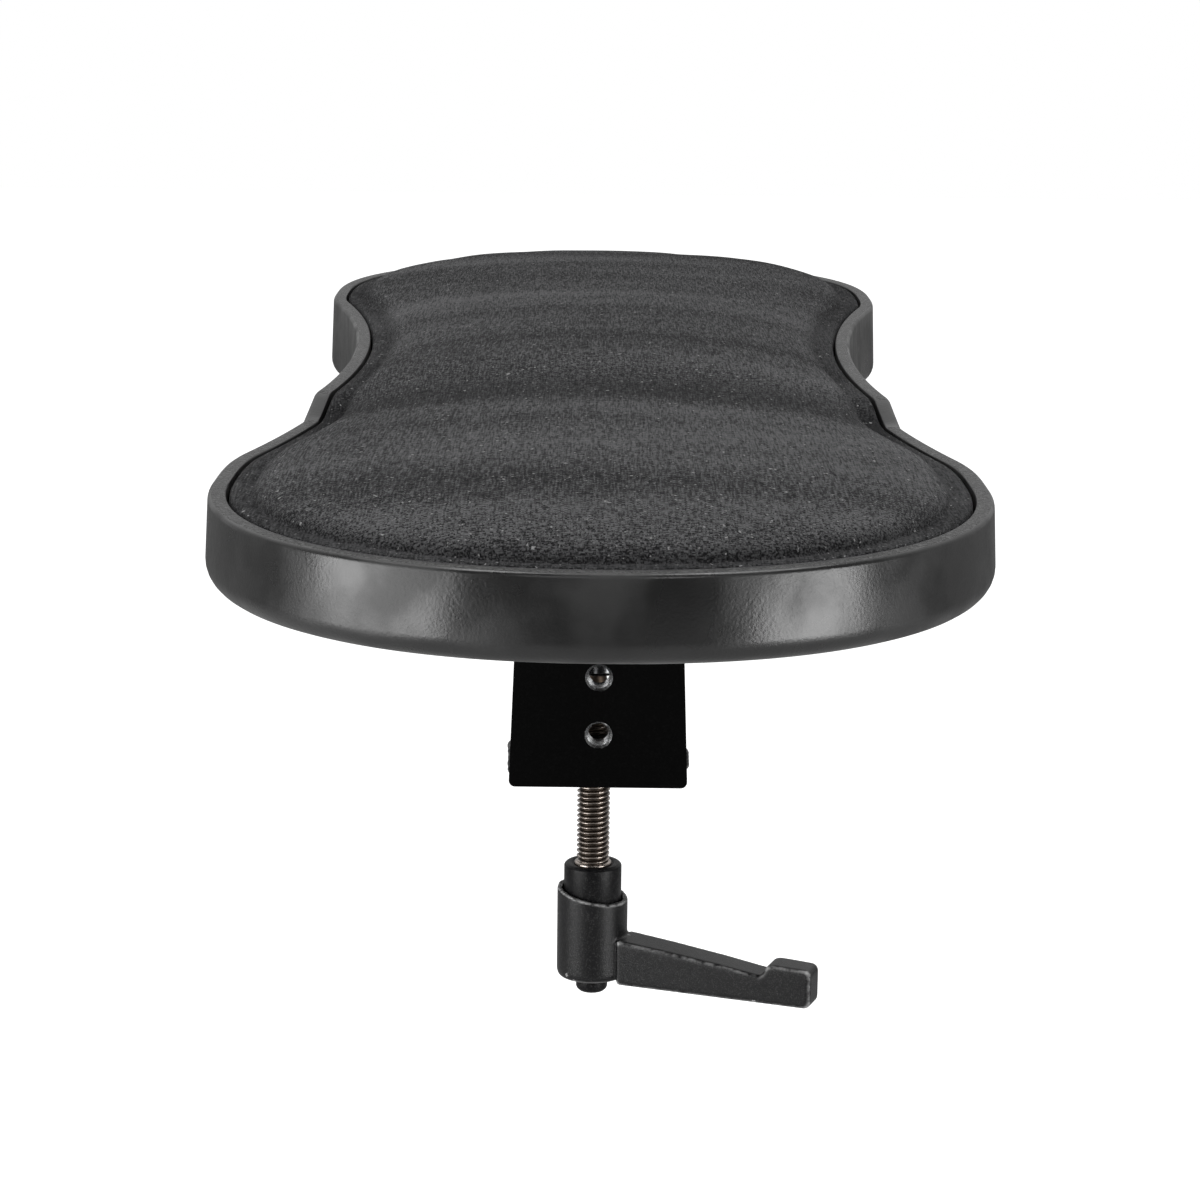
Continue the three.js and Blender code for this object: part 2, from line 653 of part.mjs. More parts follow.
const pad = new THREE.Group();
pad.add(piece("armrest_tray", tray(), "tray"));
pad.add(piece("fabric_cover", fabricCover(), "fabric"));
pad.add(piece("foam_core", foamCore(), "foam"));
pad.add(piece("base_board", baseBoard(), "plywood"));
pad.add(piece("swivel_plate", swivelPlate(), "powder"));
pad.add(piece("pivot_bush", pivotBush(), "nylon"));
PLATE_SCREWS.forEach(([x, y], i) => {
  const screw = piece("plate_screw_" + (i + 1), plateScrew(), "zinc");
  screw.position.set(x, y, 0);
  pad.add(screw);
});
BOARD_SCREWS.forEach(([x, y], i) => {
  const screw = piece("board_screw_" + (i + 1), boardScrew(), "zinc");
  screw.position.set(x, y, 0);
  pad.add(screw);
});
armrest.add(pad);

const base = new THREE.Group();
base.add(piece("clamp_bracket", bracket(), "powder"));
base.add(piece("jaw_pad", jawPad(), "rubber"));
base.add(piece("lower_arm", lowerArm(), "powder"));
base.add(piece("friction_washer", ring(8.6, 34, WASHER_BOTTOM, WASHER_BOTTOM + WASHER_T, 32), "nylon"));
base.add(piece("pivot_bolt", pivotBolt(), "zinc"));
base.add(piece("disc_spring", discSpring(), "steel"));
base.add(piece("nut_washer", ring(8.4, 16, NUT_WASHER_BOTTOM, NUT_WASHER_BOTTOM + NUT_WASHER_T), "zinc"));
base.add(piece("lock_nut", lockNut(), "zinc"));

const weldY = SPINE_BACK_Y + SIDE_WELD_R + 0.3;
const leftWeld = piece("weld_left", weldBead(SIDE_WELD_R, SPINE_BOTTOM_Z + 0.2, ARM_TOP + 3.4), "weld");
leftWeld.position.set(-ARM_HALF - SIDE_WELD_R - 0.1, weldY, 0);
const rightWeld = piece("weld_right", weldBead(SIDE_WELD_R, SPINE_BOTTOM_Z + 1.8, ARM_TOP + 2), "weld");
rightWeld.position.set(ARM_HALF + SIDE_WELD_R + 0.1, weldY, 0);
const topWeld = piece("weld_top", weldBead(TOP_WELD_R, -15.5, 15.5), "weld");
topWeld.rotation.y = Math.PI / 2;
topWeld.position.set(0, SPINE_BACK_Y + TOP_WELD_R + 0.3, ARM_TOP + TOP_WELD_R + 0.3);
base.add(leftWeld, rightWeld, topWeld);
armrest.add(base);

const clamp = new THREE.Group();
clamp.position.x = STUD_X;
clamp.add(piece("ball_seat", ballSeat(), "nylon"));
clamp.add(piece("pressure_foot", pressureFoot(), "zinc"));
clamp.add(piece("foot_pad", footPad(), "rubber"));
clamp.add(piece("clamp_stud", clampStud(), "steel"));
const insert = piece("handle_insert", handleInsert(), "castHandle");
insert.rotation.z = LEVER_AZIMUTH; // its spline is in mesh with the lever's
clamp.add(insert);
clamp.add(piece("handle_screw", handleScrew(), "castHandle"));
clamp.add(piece("handle_spring", handleSpring(), "steel"));
const lever = piece("clamp_lever", clampLever(), "castHandle");
lever.rotation.z = LEVER_AZIMUTH;
clamp.add(lever);
armrest.add(clamp);

export default armrest;
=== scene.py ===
"""A clamp-on forearm pad: a waisted fabric cushion in a plastic tray, on a steel clamp with an indexing lever."""
import json
import logging
import math
from dataclasses import dataclass, replace
from enum import Enum
from typing import Callable, Iterable, Optional, Sequence, Union

import bmesh
import bpy
from mathutils import Matrix, Vector, kdtree, noise


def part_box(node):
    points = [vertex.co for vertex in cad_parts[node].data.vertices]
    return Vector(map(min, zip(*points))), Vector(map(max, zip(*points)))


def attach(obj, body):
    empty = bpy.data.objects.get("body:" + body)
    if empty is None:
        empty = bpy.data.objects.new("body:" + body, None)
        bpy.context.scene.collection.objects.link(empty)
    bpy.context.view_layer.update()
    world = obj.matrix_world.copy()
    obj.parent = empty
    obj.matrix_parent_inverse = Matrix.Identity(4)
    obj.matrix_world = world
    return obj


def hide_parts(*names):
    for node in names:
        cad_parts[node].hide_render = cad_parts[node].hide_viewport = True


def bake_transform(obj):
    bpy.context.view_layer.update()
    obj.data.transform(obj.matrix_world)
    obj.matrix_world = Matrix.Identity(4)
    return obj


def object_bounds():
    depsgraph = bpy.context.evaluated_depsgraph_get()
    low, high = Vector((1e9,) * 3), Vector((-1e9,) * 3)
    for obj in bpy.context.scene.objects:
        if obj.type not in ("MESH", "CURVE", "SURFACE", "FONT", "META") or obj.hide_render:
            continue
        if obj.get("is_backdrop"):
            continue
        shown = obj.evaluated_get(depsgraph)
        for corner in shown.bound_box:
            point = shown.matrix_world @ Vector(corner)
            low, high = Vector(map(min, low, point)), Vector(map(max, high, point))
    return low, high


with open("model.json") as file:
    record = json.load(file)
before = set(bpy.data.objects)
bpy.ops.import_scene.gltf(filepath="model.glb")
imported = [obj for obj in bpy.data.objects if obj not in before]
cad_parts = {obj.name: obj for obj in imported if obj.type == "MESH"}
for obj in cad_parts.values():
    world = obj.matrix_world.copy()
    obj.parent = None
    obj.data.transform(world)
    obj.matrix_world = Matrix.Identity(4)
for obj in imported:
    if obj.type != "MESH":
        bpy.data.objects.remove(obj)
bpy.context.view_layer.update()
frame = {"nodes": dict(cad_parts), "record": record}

MM = 0.001
# The point attribute that holds the mask of painted shade on the cushion's sewn-down margin.
PAINTED_MARGIN_SHADE = "painted_margin_shade"
LOG = logging.getLogger("forearm_pad")
Point = tuple[float, float]
Number = Union[float, "Signal"]


class Slot(Enum):
    """The record's finishes."""

    FABRIC = "cushion_fabric"
    FOAM = "foam"
    PLYWOOD = "plywood"
    TRAY = "tray_plastic"
    POWDER = "black_powder_coat"
    CAST = "cast_handle"
    STEEL = "stud_steel"
    ZINC = "zinc_plate"
    WELD = "weld_metal"
    NYLON = "nylon"
    RUBBER = "rubber"


class Body(Enum):
    """The moving bodies of the frame."""

    BRACKET = "bracket"
    PAD = "pad"
    SEAT = "seat"
    FOOT = "foot"
    SCREW = "screw"
    LEVER = "lever"


# ---- shader maths -------------------------------------------------------------------------------------------


class Signal:
    """A number that varies over a surface: a node socket with Python's arithmetic."""

    def __init__(self, graph: "NodeGraph", socket: bpy.types.NodeSocket) -> None:
        """Wrap a socket.

        Args:
            graph: the node tree that the socket belongs to.
            socket: the output that carries the number.
        """
        self.graph = graph
        self.socket = socket

    def _math(self, operation: str, *operands: Number) -> "Signal":
        """Add a Math node.

        Args:
            operation: the Math node's operation.
            operands: its inputs, in order.

        Returns:
            The node's result.
        """
        return self.graph.node("ShaderNodeMath", {"operation": operation}, dict(enumerate(operands)))

    def __add__(self, other: Number) -> "Signal":
        """Sum."""
        return self._math("ADD", self, other)

    def __sub__(self, other: Number) -> "Signal":
        """Difference."""
        return self._math("SUBTRACT", self, other)

    def __rsub__(self, other: Number) -> "Signal":
        """Difference from a plain number."""
        return self._math("SUBTRACT", other, self)

    def __mul__(self, other: Number) -> "Signal":
        """Product."""
        return self._math("MULTIPLY", self, other)

    __radd__ = __add__
    __rmul__ = __mul__

    def __abs__(self) -> "Signal":
        """Magnitude."""
        return self._math("ABSOLUTE", self)

    def sine(self) -> "Signal":
        """Sine of an angle in radians."""
        return self._math("SINE", self)

    def ramp(self, low: float, high: float) -> "Signal":
        """Smooth step.

        Args:
            low: the value that gives nought.
            high: the value that gives one.

        Returns:
            The stepped signal, from 0 to 1.
        """
        inputs = {"Value": self, "From Min": low, "From Max": high}
        return self.graph.node("ShaderNodeMapRange", {"interpolation_type": "SMOOTHSTEP"}, inputs)


class NodeGraph:
    """A node tree, and the one way in which its nodes are made."""

    def __init__(self, tree: bpy.types.NodeTree) -> None:
        """Take a tree to add to.

        Args:
            tree: a material's or a world's tree.
        """
        self.tree = tree

    def node(
        self, kind: str, settings: Optional[dict] = None, inputs: Optional[dict] = None, output: Union[int, str] = 0
    ) -> Signal:
        """Make any node.

        Args:
            kind: the node's type.
            settings: attributes that are set first.
            inputs: values or signals, by socket name or number.
            output: the socket that is handed back.

        Returns:
            The chosen output.
        """
        made = self.tree.nodes.new(kind)
        for key, value in (settings or {}).items():
            setattr(made, key, value)
        for key, value in (inputs or {}).items():
            self.feed(made.inputs[key], value)
        return Signal(self, made.outputs[output])

    def feed(self, socket: bpy.types.NodeSocket, value: Union[Number, Sequence[float]]) -> None:
        """Give a socket a signal or a plain value.

        Args:
            socket: the input.
            value: what goes in.
        """
        if isinstance(value, Signal):
            self.tree.links.new(value.socket, socket)
        else:
            socket.default_value = value


class ShaderGraph(NodeGraph):
    """One material's node tree, with a Principled shader ready to feed."""

    def __init__(self, name: str) -> None:
        """Start a material.

        Args:
            name: the material's name.
        """
        self.material = bpy.data.materials.new(name)
        self.material.use_nodes = True
        super().__init__(self.material.node_tree)
        self.shader = self.tree.nodes["Principled BSDF"]
        self.place = self.node("ShaderNodeTexCoord", output="Object")

    def mix(self, factor: Number, low: Union[Signal, Sequence[float]], high: Union[Signal, Sequence[float]]) -> Signal:
        """Blend two colours.

        Args:
            factor: nought for the first colour, one for the second.
            low: the first colour.
            high: the second colour.

        Returns:
            The blended colour.
        """
        low, high = (c if isinstance(c, Signal) else (*c, 1.0) for c in (low, high))
        return self.node("ShaderNodeMix", {"data_type": "RGBA"}, {0: factor, 6: low, 7: high}, output=2)

    def grain(self, size: float, detail: float = 2.0, stretch: Sequence[float] = (1, 1, 1)) -> Signal:
        """Noise in the object's own space.

        Args:
            size: the length of one blob, in metres.
            detail: octaves.
            stretch: how much longer the blobs are along each axis.

        Returns:
            The noise, about 0.5.
        """
        scale = tuple(1.0 / s for s in stretch)
        vector = self.node("ShaderNodeMapping", None, {"Vector": self.place, "Scale": scale})
        inputs = {"Vector": vector, "Scale": 1.0 / size, "Detail": detail}
        return self.node("ShaderNodeTexNoise", None, inputs)

    def axis(self, name: str) -> Signal:
        """One coordinate of the surface point, in metres."""
        return self.node("ShaderNodeSeparateXYZ", None, {"Vector": self.place}, output=name)

    def bump(self, height: Signal, depth: float, strength: float = 1.0) -> None:
        """Feed the shader's normal.

        Args:
            height: the relief, from 0 to 1.
            depth: the relief's real depth, in metres.
            strength: how much of it shows.
        """
        inputs = {"Height": height, "Distance": depth, "Strength": strength}
        self.feed(self.shader.inputs["Normal"], self.node("ShaderNodeBump", None, inputs))

    def set(self, **values: Union[Number, Sequence[float]]) -> None:
        """Feed sockets of the shader, named with underscores for spaces."""
        for key, value in values.items():
            self.feed(self.shader.inputs[key.replace("_", " ")], value)


# ---- finishes -----------------------------------------------------------------------------------------------


@dataclass(frozen=True)
class Finish:
    """A finish with a speckled tone and an uneven gloss."""

    slot: Slot
    tone: tuple[float, float, float]
    tone_high: tuple[float, float, float]
    roughness: float = 0.5
    roughness_swing: float = 0.08
    metallic: float = 0.0
    grain_size: float = 0.6 * MM
    relief: float = 0.03 * MM
    patch_size: float = 12 * MM
    specular: float = 0.5

    def build(self, suffix: str = "") -> bpy.types.Material:
        """Make the material.

        Args:
            suffix: an ending for the name, where a slot has more than one look.

        Returns:
            The material.
        """
        graph = ShaderGraph(self.slot.value + suffix)
        patches = graph.grain(self.patch_size, 3.0)
        fine = graph.grain(self.grain_size, 2.0)
        graph.set(
            Base_Color=graph.mix(patches.ramp(0.3, 0.7), self.tone, self.tone_high),
            Roughness=patches * (2 * self.roughness_swing) + (self.roughness - self.roughness_swing),
            Metallic=self.metallic,
            Specular_IOR_Level=self.specular,
        )
        graph.bump(fine, self.relief)
        self.detail(graph, fine)
        return graph.material

    def detail(self, graph: ShaderGraph, fine: Signal) -> None:
        """Nothing more on a plain finish."""


@dataclass(frozen=True)
class MouldGrain(Finish):
    """Moulded plastic with an etched grain, with painted shade in its pits."""

    def detail(self, graph: ShaderGraph, fine: Signal) -> None:
        """Paint shade into the pits.

        Args:
            graph: the material's tree.
            fine: the grain.
        """
        pits = fine.ramp(0.36, 0.62)
        # Painted shade: the grain's pits go to half the base tone.
        graph.set(Base_Color=graph.mix(pits, tuple(0.5 * c for c in self.tone), self.tone_high))
        graph.bump(pits, self.relief)


@dataclass(frozen=True)
class SatinMoulding(Finish):
    """Moulded plastic that cooled a little unevenly, so that its reflections are cloudy."""

    wave_size: float = 22 * MM
    wave_depth: float = 0.17 * MM

    def detail(self, graph: ShaderGraph, fine: Signal) -> None:
        """Add the slow waves and a fine spark texture.

        Args:
            graph: the material's tree.
            fine: the plastic's grain.
        """
        waves = graph.grain(self.wave_size, 3.0)
        graph.bump(waves * (self.wave_depth / MM) + fine * (self.relief / MM), MM)
        clouds = graph.grain(self.wave_size * 0.7, 4.0).ramp(0.35, 0.7)
        graph.set(Roughness=clouds * (2 * self.roughness_swing) + (self.roughness - self.roughness_swing))


@dataclass(frozen=True)
class EdgeHighlitCoat(Finish):
    """A textured coat with tiny glints, and a painted highlight along its sharp convex edges."""

    glint: tuple[float, float, float] = (0.12, 0.12, 0.125)
    # The painted highlight on convex edges: its colour and its strength.
    edge_highlight_colour: tuple[float, float, float] = (0.2, 0.2, 0.2)
    edge_highlight_strength: float = 0.8

    def detail(self, graph: ShaderGraph, fine: Signal) -> None:
        """Add the glints and the painted highlight on the sharp convex edges.

        Args:
            graph: the material's tree.
            fine: the coat's orange peel.
        """
        specks = (fine * 0.75 + graph.grain(self.grain_size * 3.1, 1.0) * 0.25).ramp(0.48, 0.7)
        # Painted highlight: sharp convex edges, found by pointiness, are lightened in broken patches.
        ridge = graph.node("ShaderNodeNewGeometry", output="Pointiness").ramp(0.51, 0.535)
        painted_edge_highlight = ridge * graph.grain(self.grain_size * 6, 3.0).ramp(0.3, 0.6) * self.edge_highlight_strength
        graph.set(Base_Color=graph.mix(painted_edge_highlight, graph.mix(specks, self.tone, self.glint), self.edge_highlight_colour))


@dataclass(frozen=True)
class MelangeWeave(Finish):
    """A plain weave of heathered yarns, with painted shade on its sewn-down margin and across its step."""

    pitch: float = 0.62 * MM
    speck: tuple[float, float, float] = (0.22, 0.22, 0.22)
    # Where the band of painted shade across the step lies, and half its width.
    step_centre: float = -75 * MM
    step_half: float = 20 * MM

    def build(self, suffix: str = "") -> bpy.types.Material:
        """Make the fabric.

        Args:
            suffix: an ending for the name.

        Returns:
            The material.
        """
        graph = ShaderGraph(self.slot.value + suffix)
        wander = graph.grain(4 * MM, 1.0) * (0.5 * self.pitch)
        turn = math.pi / self.pitch
        across = ((graph.axis("X") + wander) * turn).sine()
        along = ((graph.axis("Y") + wander) * turn).sine()
        crossing = across * along
        warp_on_top = crossing.ramp(-0.15, 0.15)
        warp = graph.grain(self.pitch * 0.6, 1.5, (1, 14, 1))
        weft = graph.grain(self.pitch * 0.6, 1.5, (4, 1, 1))
        yarn = warp * warp_on_top + weft * (1 - warp_on_top)
        bands = graph.grain(42 * MM, 3.0, (5, 1, 1)) * 0.36
        heather = (yarn * 0.8 + graph.grain(1.6 * MM, 2.0) * 0.05 + bands).ramp(0.5, 0.76)
        # Painted shade on the sewn-down margin, from the mask that the cushion stores.
        painted_margin_shade = graph.node("ShaderNodeAttribute", {"attribute_name": PAINTED_MARGIN_SHADE}, output="Fac")
        body = graph.mix(heather, self.tone, self.tone_high)
        # Painted shade: a band across the pad, darkest where the crown steps up at the rim's ramp.
        painted_step_shade = 1 - abs(graph.axis("Y") - self.step_centre).ramp(0.2 * self.step_half, self.step_half)
        # The painted shade of the margin and of the step darkens the fabric towards its darkest tone.
        painted_shade_fabric = graph.mix(painted_margin_shade * 0.45 + painted_step_shade * 0.4, body, self.tone)
        nep = graph.grain(0.9 * MM, 1.5, (1.0, 1.5, 1.0)).ramp(0.68, 0.76)
        height = abs(crossing) * 0.7 + yarn * 0.5
        graph.set(
            Base_Color=graph.mix(nep * 0.8, painted_shade_fabric, self.speck),
            Roughness=0.98 - height * 0.12,
            Specular_IOR_Level=self.specular,
            Sheen_Weight=0.02,
            Sheen_Roughness=0.4,
        )
        graph.bump(height, 0.16 * MM, 0.75)
        return graph.material


@dataclass(frozen=True)
class TurnedSteel(Finish):
    """Rolled or turned steel with an oily tint in the hollows."""

    radius: float = 4 * MM
    centre: Point = (0.0, 0.0)
    oil: tuple[float, float, float] = (0.035, 0.027, 0.021)

    def detail(self, graph: ShaderGraph, fine: Signal) -> None:
        """Tint the hollows.

        Args:
            graph: the material's tree.
            fine: the metal's grain.
        """
        offset = (-self.centre[0], -self.centre[1], 0)
        flat = graph.node("ShaderNodeMapping", None, {"Vector": graph.place, "Location": offset, "Scale": (1, 1, 0)})
        reach = graph.node("ShaderNodeVectorMath", {"operation": "LENGTH"}, {0: flat}, output="Value")
        hollow = 1 - reach.ramp(self.radius * 0.84, self.radius)
        stain = (hollow * 0.8 + graph.grain(1.5 * MM, 3.0) * 0.5).ramp(0.3, 1.0)
        graph.set(Base_Color=graph.mix(stain, self.tone_high, self.oil), Roughness=stain * 0.22 + self.roughness)


@dataclass(frozen=True)
class Laminate(Finish):
    """Plywood: a grain along the board and thin plies on its edge."""

    ply: float = 1.0 * MM

    def detail(self, graph: ShaderGraph, fine: Signal) -> None:
        """Add the grain and the plies.

        Args:
            graph: the material's tree.
            fine: the wood's pores.
        """
        figure = graph.grain(3 * MM, 4.0, (1, 14, 1))
        plies = (graph.axis("Z") * (math.pi / self.ply)).sine().ramp(-0.2, 0.2)
        graph.set(Base_Color=graph.mix(figure * 0.6 + plies * 0.4, self.tone, self.tone_high))


STUD_CENTRE = Vector(sum(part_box("clamp_stud"), Vector())) * 0.5

FINISHES: dict[Slot, Finish] = {
    Slot.FABRIC: MelangeWeave(Slot.FABRIC, (0.004, 0.004, 0.0045), (0.08, 0.08, 0.082), specular=0.08),
    Slot.FOAM: Finish(Slot.FOAM, (0.62, 0.56, 0.4), (0.75, 0.7, 0.55), 0.95, relief=0.3 * MM),
    Slot.PLYWOOD: Laminate(Slot.PLYWOOD, (0.36, 0.22, 0.1), (0.58, 0.4, 0.22), 0.75),
    Slot.TRAY: SatinMoulding(Slot.TRAY, (0.006, 0.006, 0.006), (0.010, 0.010, 0.010), 0.39, 0.12, relief=0.035 * MM),
    Slot.POWDER: EdgeHighlitCoat(
        Slot.POWDER, (0.0006, 0.0006, 0.0006), (0.001, 0.001, 0.001), 0.6, 0.02, specular=0.03, glint=(0.0015, 0.0015, 0.0015),
        edge_highlight_strength=0.0,
    ),
    Slot.CAST: EdgeHighlitCoat(
        Slot.CAST, (0.003, 0.003, 0.0034), (0.007, 0.007, 0.007), 0.33, 0.04, grain_size=0.3 * MM, relief=0.05 * MM,
        specular=0.24, glint=(0.022, 0.022, 0.022), edge_highlight_colour=(0.3, 0.3, 0.3),
    ),
    Slot.STEEL: TurnedSteel(
        Slot.STEEL, (0.1, 0.085, 0.075), (0.34, 0.3, 0.27), 0.24, metallic=1.0, centre=tuple(STUD_CENTRE.xy)
    ),
    Slot.ZINC: Finish(Slot.ZINC, (0.45, 0.46, 0.47), (0.6, 0.6, 0.6), 0.2, metallic=1.0, relief=0.008 * MM),
    Slot.WELD: EdgeHighlitCoat(Slot.WELD, (0.006, 0.006, 0.006), (0.012, 0.012, 0.012), 0.34, glint=(0.1, 0.1, 0.1)),
    Slot.NYLON: Finish(Slot.NYLON, (0.62, 0.6, 0.53), (0.7, 0.68, 0.6), 0.5),
    Slot.RUBBER: Finish(Slot.RUBBER, (0.009, 0.009, 0.009), (0.016, 0.016, 0.016), 0.8, relief=0.05 * MM),
}
RIM_GRAIN = MouldGrain(
    Slot.TRAY, (0.006, 0.006, 0.006), (0.036, 0.036, 0.036), 0.36, 0.05, grain_size=0.62 * MM, relief=0.26 * MM,
    specular=0.32,
)


class Wardrobe:
    """The finished materials, made once each."""

    def __init__(self) -> None:
        """Make every finish and dress the frame's own nodes in them."""
        self.by_slot = {slot: finish.build() for slot, finish in FINISHES.items()}
        self.rim = RIM_GRAIN.build("_grained")
        # The cast finish without the painted edge highlight, and with less specular.
        self.cast_without_edge_highlight = replace(FINISHES[Slot.CAST], edge_highlight_strength=0.0, specular=0.12).build("_without_edge_highlight")
        for row in frame["record"]["subparts"]:
            node = frame["nodes"][row["node"]]
            for holder in node.material_slots:
                holder.material = self.by_slot[Slot(row["material_slot"])]


# ---- mesh work ----------------------------------------------------------------------------------------------


def round_edges(bm: bmesh.types.BMesh, width: float, segments: int = 3, sharper_than: float = 35.0) -> None:
    """Bevel every edge that is sharper than an angle.

    Args:
        bm: the mesh.
        width: the bevel's width, in metres.
        segments: its steps.
        sharper_than: the angle between faces, in degrees.
    """
    limit = math.radians(sharper_than)
    sharp = [edge for edge in bm.edges if edge.is_manifold and edge.calc_face_angle(0.0) > limit]
    bmesh.ops.bevel(
        bm, geom=sharp, offset=width, segments=segments, profile=0.5, affect="EDGES", clamp_overlap=True, material=-1
    )


def lathe(profile: Iterable[Point], centre: Point = (0.0, 0.0), steps: int = 64) -> bmesh.types.BMesh:
    """Spin a profile round an upright axis.

    Args:
        profile: (radius, height) points in metres.
        centre: where the axis stands.
        steps: how many sides a turn has.

    Returns:
        The closed shape.
    """
    bm = bmesh.new()
    verts = [bm.verts.new((centre[0] + radius, centre[1], height)) for radius, height in profile]
    edges = [bm.edges.new(pair) for pair in zip(verts, verts[1:])]
    bmesh.ops.spin(
        bm, geom=verts + edges, cent=(*centre, 0), axis=(0, 0, 1), angle=math.tau, steps=steps, use_merge=True
    )
    bmesh.ops.remove_doubles(bm, verts=bm.verts, dist=1e-6)
    bmesh.ops.recalc_face_normals(bm, faces=bm.faces)
    return bm


def mm_profile(*points: Point) -> list[Point]:
    """Turn (radius, height) pairs in millimetres into metres."""
    return [(radius * MM, height * MM) for radius, height in points]


def make_object(
    name: str, bm: bmesh.types.BMesh, materials: Sequence[bpy.types.Material], crease: float = 38.0
) -> bpy.types.Object:
    """Put a mesh in the scene.

    Args:
        name: the piece's name.
        bm: its mesh, which is freed.
        materials: its materials, in slot order.
        crease: edges sharper than this, in degrees, stay sharp.

    Returns:
        The object, at the origin.
    """
    mesh = bpy.data.meshes.new(name)
    bm.to_mesh(mesh)
    bm.free()
    for material in materials:
        mesh.materials.append(material)
    mesh.polygons.foreach_set("use_smooth", [True] * len(mesh.polygons))
    mesh.set_sharp_from_angle(angle=math.radians(crease))
    piece = bpy.data.objects.new(name, mesh)
    bpy.context.scene.collection.objects.link(piece)
    return piece


def seat(piece: bpy.types.Object, body: Body, slot: Slot, *nodes: str) -> bpy.types.Object:
    """Attach a piece to the body that carries it, and hide the nodes that it stands for.

    Args:
        piece: the new piece.
        body: the body that carries it.
        slot: not used.
        nodes: the frame's nodes that it replaces.

    Returns:
        The piece.
    """
    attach(piece, body.value)
    if nodes:
        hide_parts(*nodes)
    LOG.info("%s: %d faces on %s", piece.name, len(piece.data.polygons), body.value)
    return piece


def evaluated_mesh(piece: bpy.types.Object) -> bpy.types.Mesh:
    """The mesh that a piece's modifiers give at the present frame."""
    graph = bpy.context.evaluated_depsgraph_get()
    return bpy.data.meshes.new_from_object(piece.evaluated_get(graph))


def node_bmesh(node: str) -> bmesh.types.BMesh:
    """A merged, tidied copy of one of the frame's nodes.

    Args:
        node: the node's name.

    Returns:
        The copy, with flat faces joined.
    """
    bm = bmesh.new()
    bm.from_mesh(frame["nodes"][node].data)
    bmesh.ops.remove_doubles(bm, verts=bm.verts, dist=2e-6)
    bmesh.ops.dissolve_limit(bm, angle_limit=math.radians(0.6), verts=bm.verts, edges=bm.edges)
    return bm


def level(node: str, top: bool = True) -> float:
    """The height of a node's top or bottom, in metres."""
    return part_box(node)[1 if top else 0].z


# ---- the pad's outline --------------------------------------------------------------------------------------


@dataclass(frozen=True)
class PadOutline:
    """A peanut: a concave waist arc, a blend, and superelliptic ends."""

    half_length: float
    half_width: float
    waist_half: float = 60.2 * MM
    waist_radius: float = 490 * MM
    waist_end: float = 110 * MM
    lobe_centre: float = 141 * MM
    power: float = 2.2
    ramp_low: float = -68 * MM
    ramp_high: float = -56 * MM
    ramp_rise: float = 4.5 * MM

    def half_width_at(self, along: float) -> float:
        """Half the width of the straight part.

        Args:
            along: the distance from the middle, no further than the lobe's centre.

        Returns:
            The half width.
        """
        if along <= self.waist_end:
            return self.waist_half + self.waist_radius - math.sqrt(self.waist_radius**2 - along**2)
        span = self.lobe_centre - self.waist_end
        t = (along - self.waist_end) / span
        start = self.half_width_at(self.waist_end)
        slope = self.waist_end / math.sqrt(self.waist_radius**2 - self.waist_end**2)
        return start + (self.half_width - start) * (3 * t**2 - 2 * t**3) + slope * span * (t**3 - 2 * t**2 + t)

    def quarter(self, steps: int) -> list[Vector]:
        """A quarter of the outline, finely divided, from the waist to the tip.

        Args:
            steps: how many steps each of its two stretches has.

        Returns:
            The points, without the tip.
        """
        side = [Vector((self.half_width_at(self.lobe_centre * k / steps), self.lobe_centre * k / steps)) for k in range(steps)]
        reach = self.half_length - self.lobe_centre
        turns = (math.pi / 2 * k / steps for k in range(steps))
        exponent = 2 / self.power
        end = [
            Vector((self.half_width * math.cos(a) ** exponent, self.lobe_centre + reach * math.sin(a) ** exponent))
            for a in turns
        ]
        return side + end

    def loop(self, count: int) -> tuple[list[Vector], list[Vector]]:
        """The whole outline at an even spacing.

        Args:
            count: how many points it has.

        Returns:
            The points and their outward normals, counter-clockwise from the right of the waist.
        """
        quarter = self.quarter(400)
        upper = quarter + [Vector((0, self.half_length))] + [Vector((-p.x, p.y)) for p in reversed(quarter[1:])]
        dense = upper + [-p for p in upper]
        gaps = [(dense[(i + 1) % len(dense)] - p).length for i, p in enumerate(dense)]
        total = sum(gaps)
        points, normals, walked, i = [], [], 0.0, 0
        for k in range(count):
            target = total * k / count
            while walked + gaps[i] < target:
                walked += gaps[i]
                i += 1
            here, after = dense[i], dense[(i + 1) % len(dense)]
            points.append(here.lerp(after, (target - walked) / gaps[i]))
            before, beyond = dense[i - 3], dense[(i + 4) % len(dense)]
            run = (beyond - before).normalized()
            normals.append(Vector((run.y, -run.x)))
        return points, normals

    def rise(self, along: float, ease: Optional[float] = None) -> float:
        """How far the rim stands above its low level.

        Args:
            along: the station, in metres.
            ease: how much the ramp is spread out at each end, in metres, with its corners rounded.

        Returns:
            The rise, in metres.
        """
        spread = ease or 0.0
        low, high = self.ramp_low - spread, self.ramp_high + spread
        t = min(1.0, max(0.0, (along - low) / (high - low)))
        return self.ramp_rise * (t if ease is None else t * t * (3 - 2 * t))


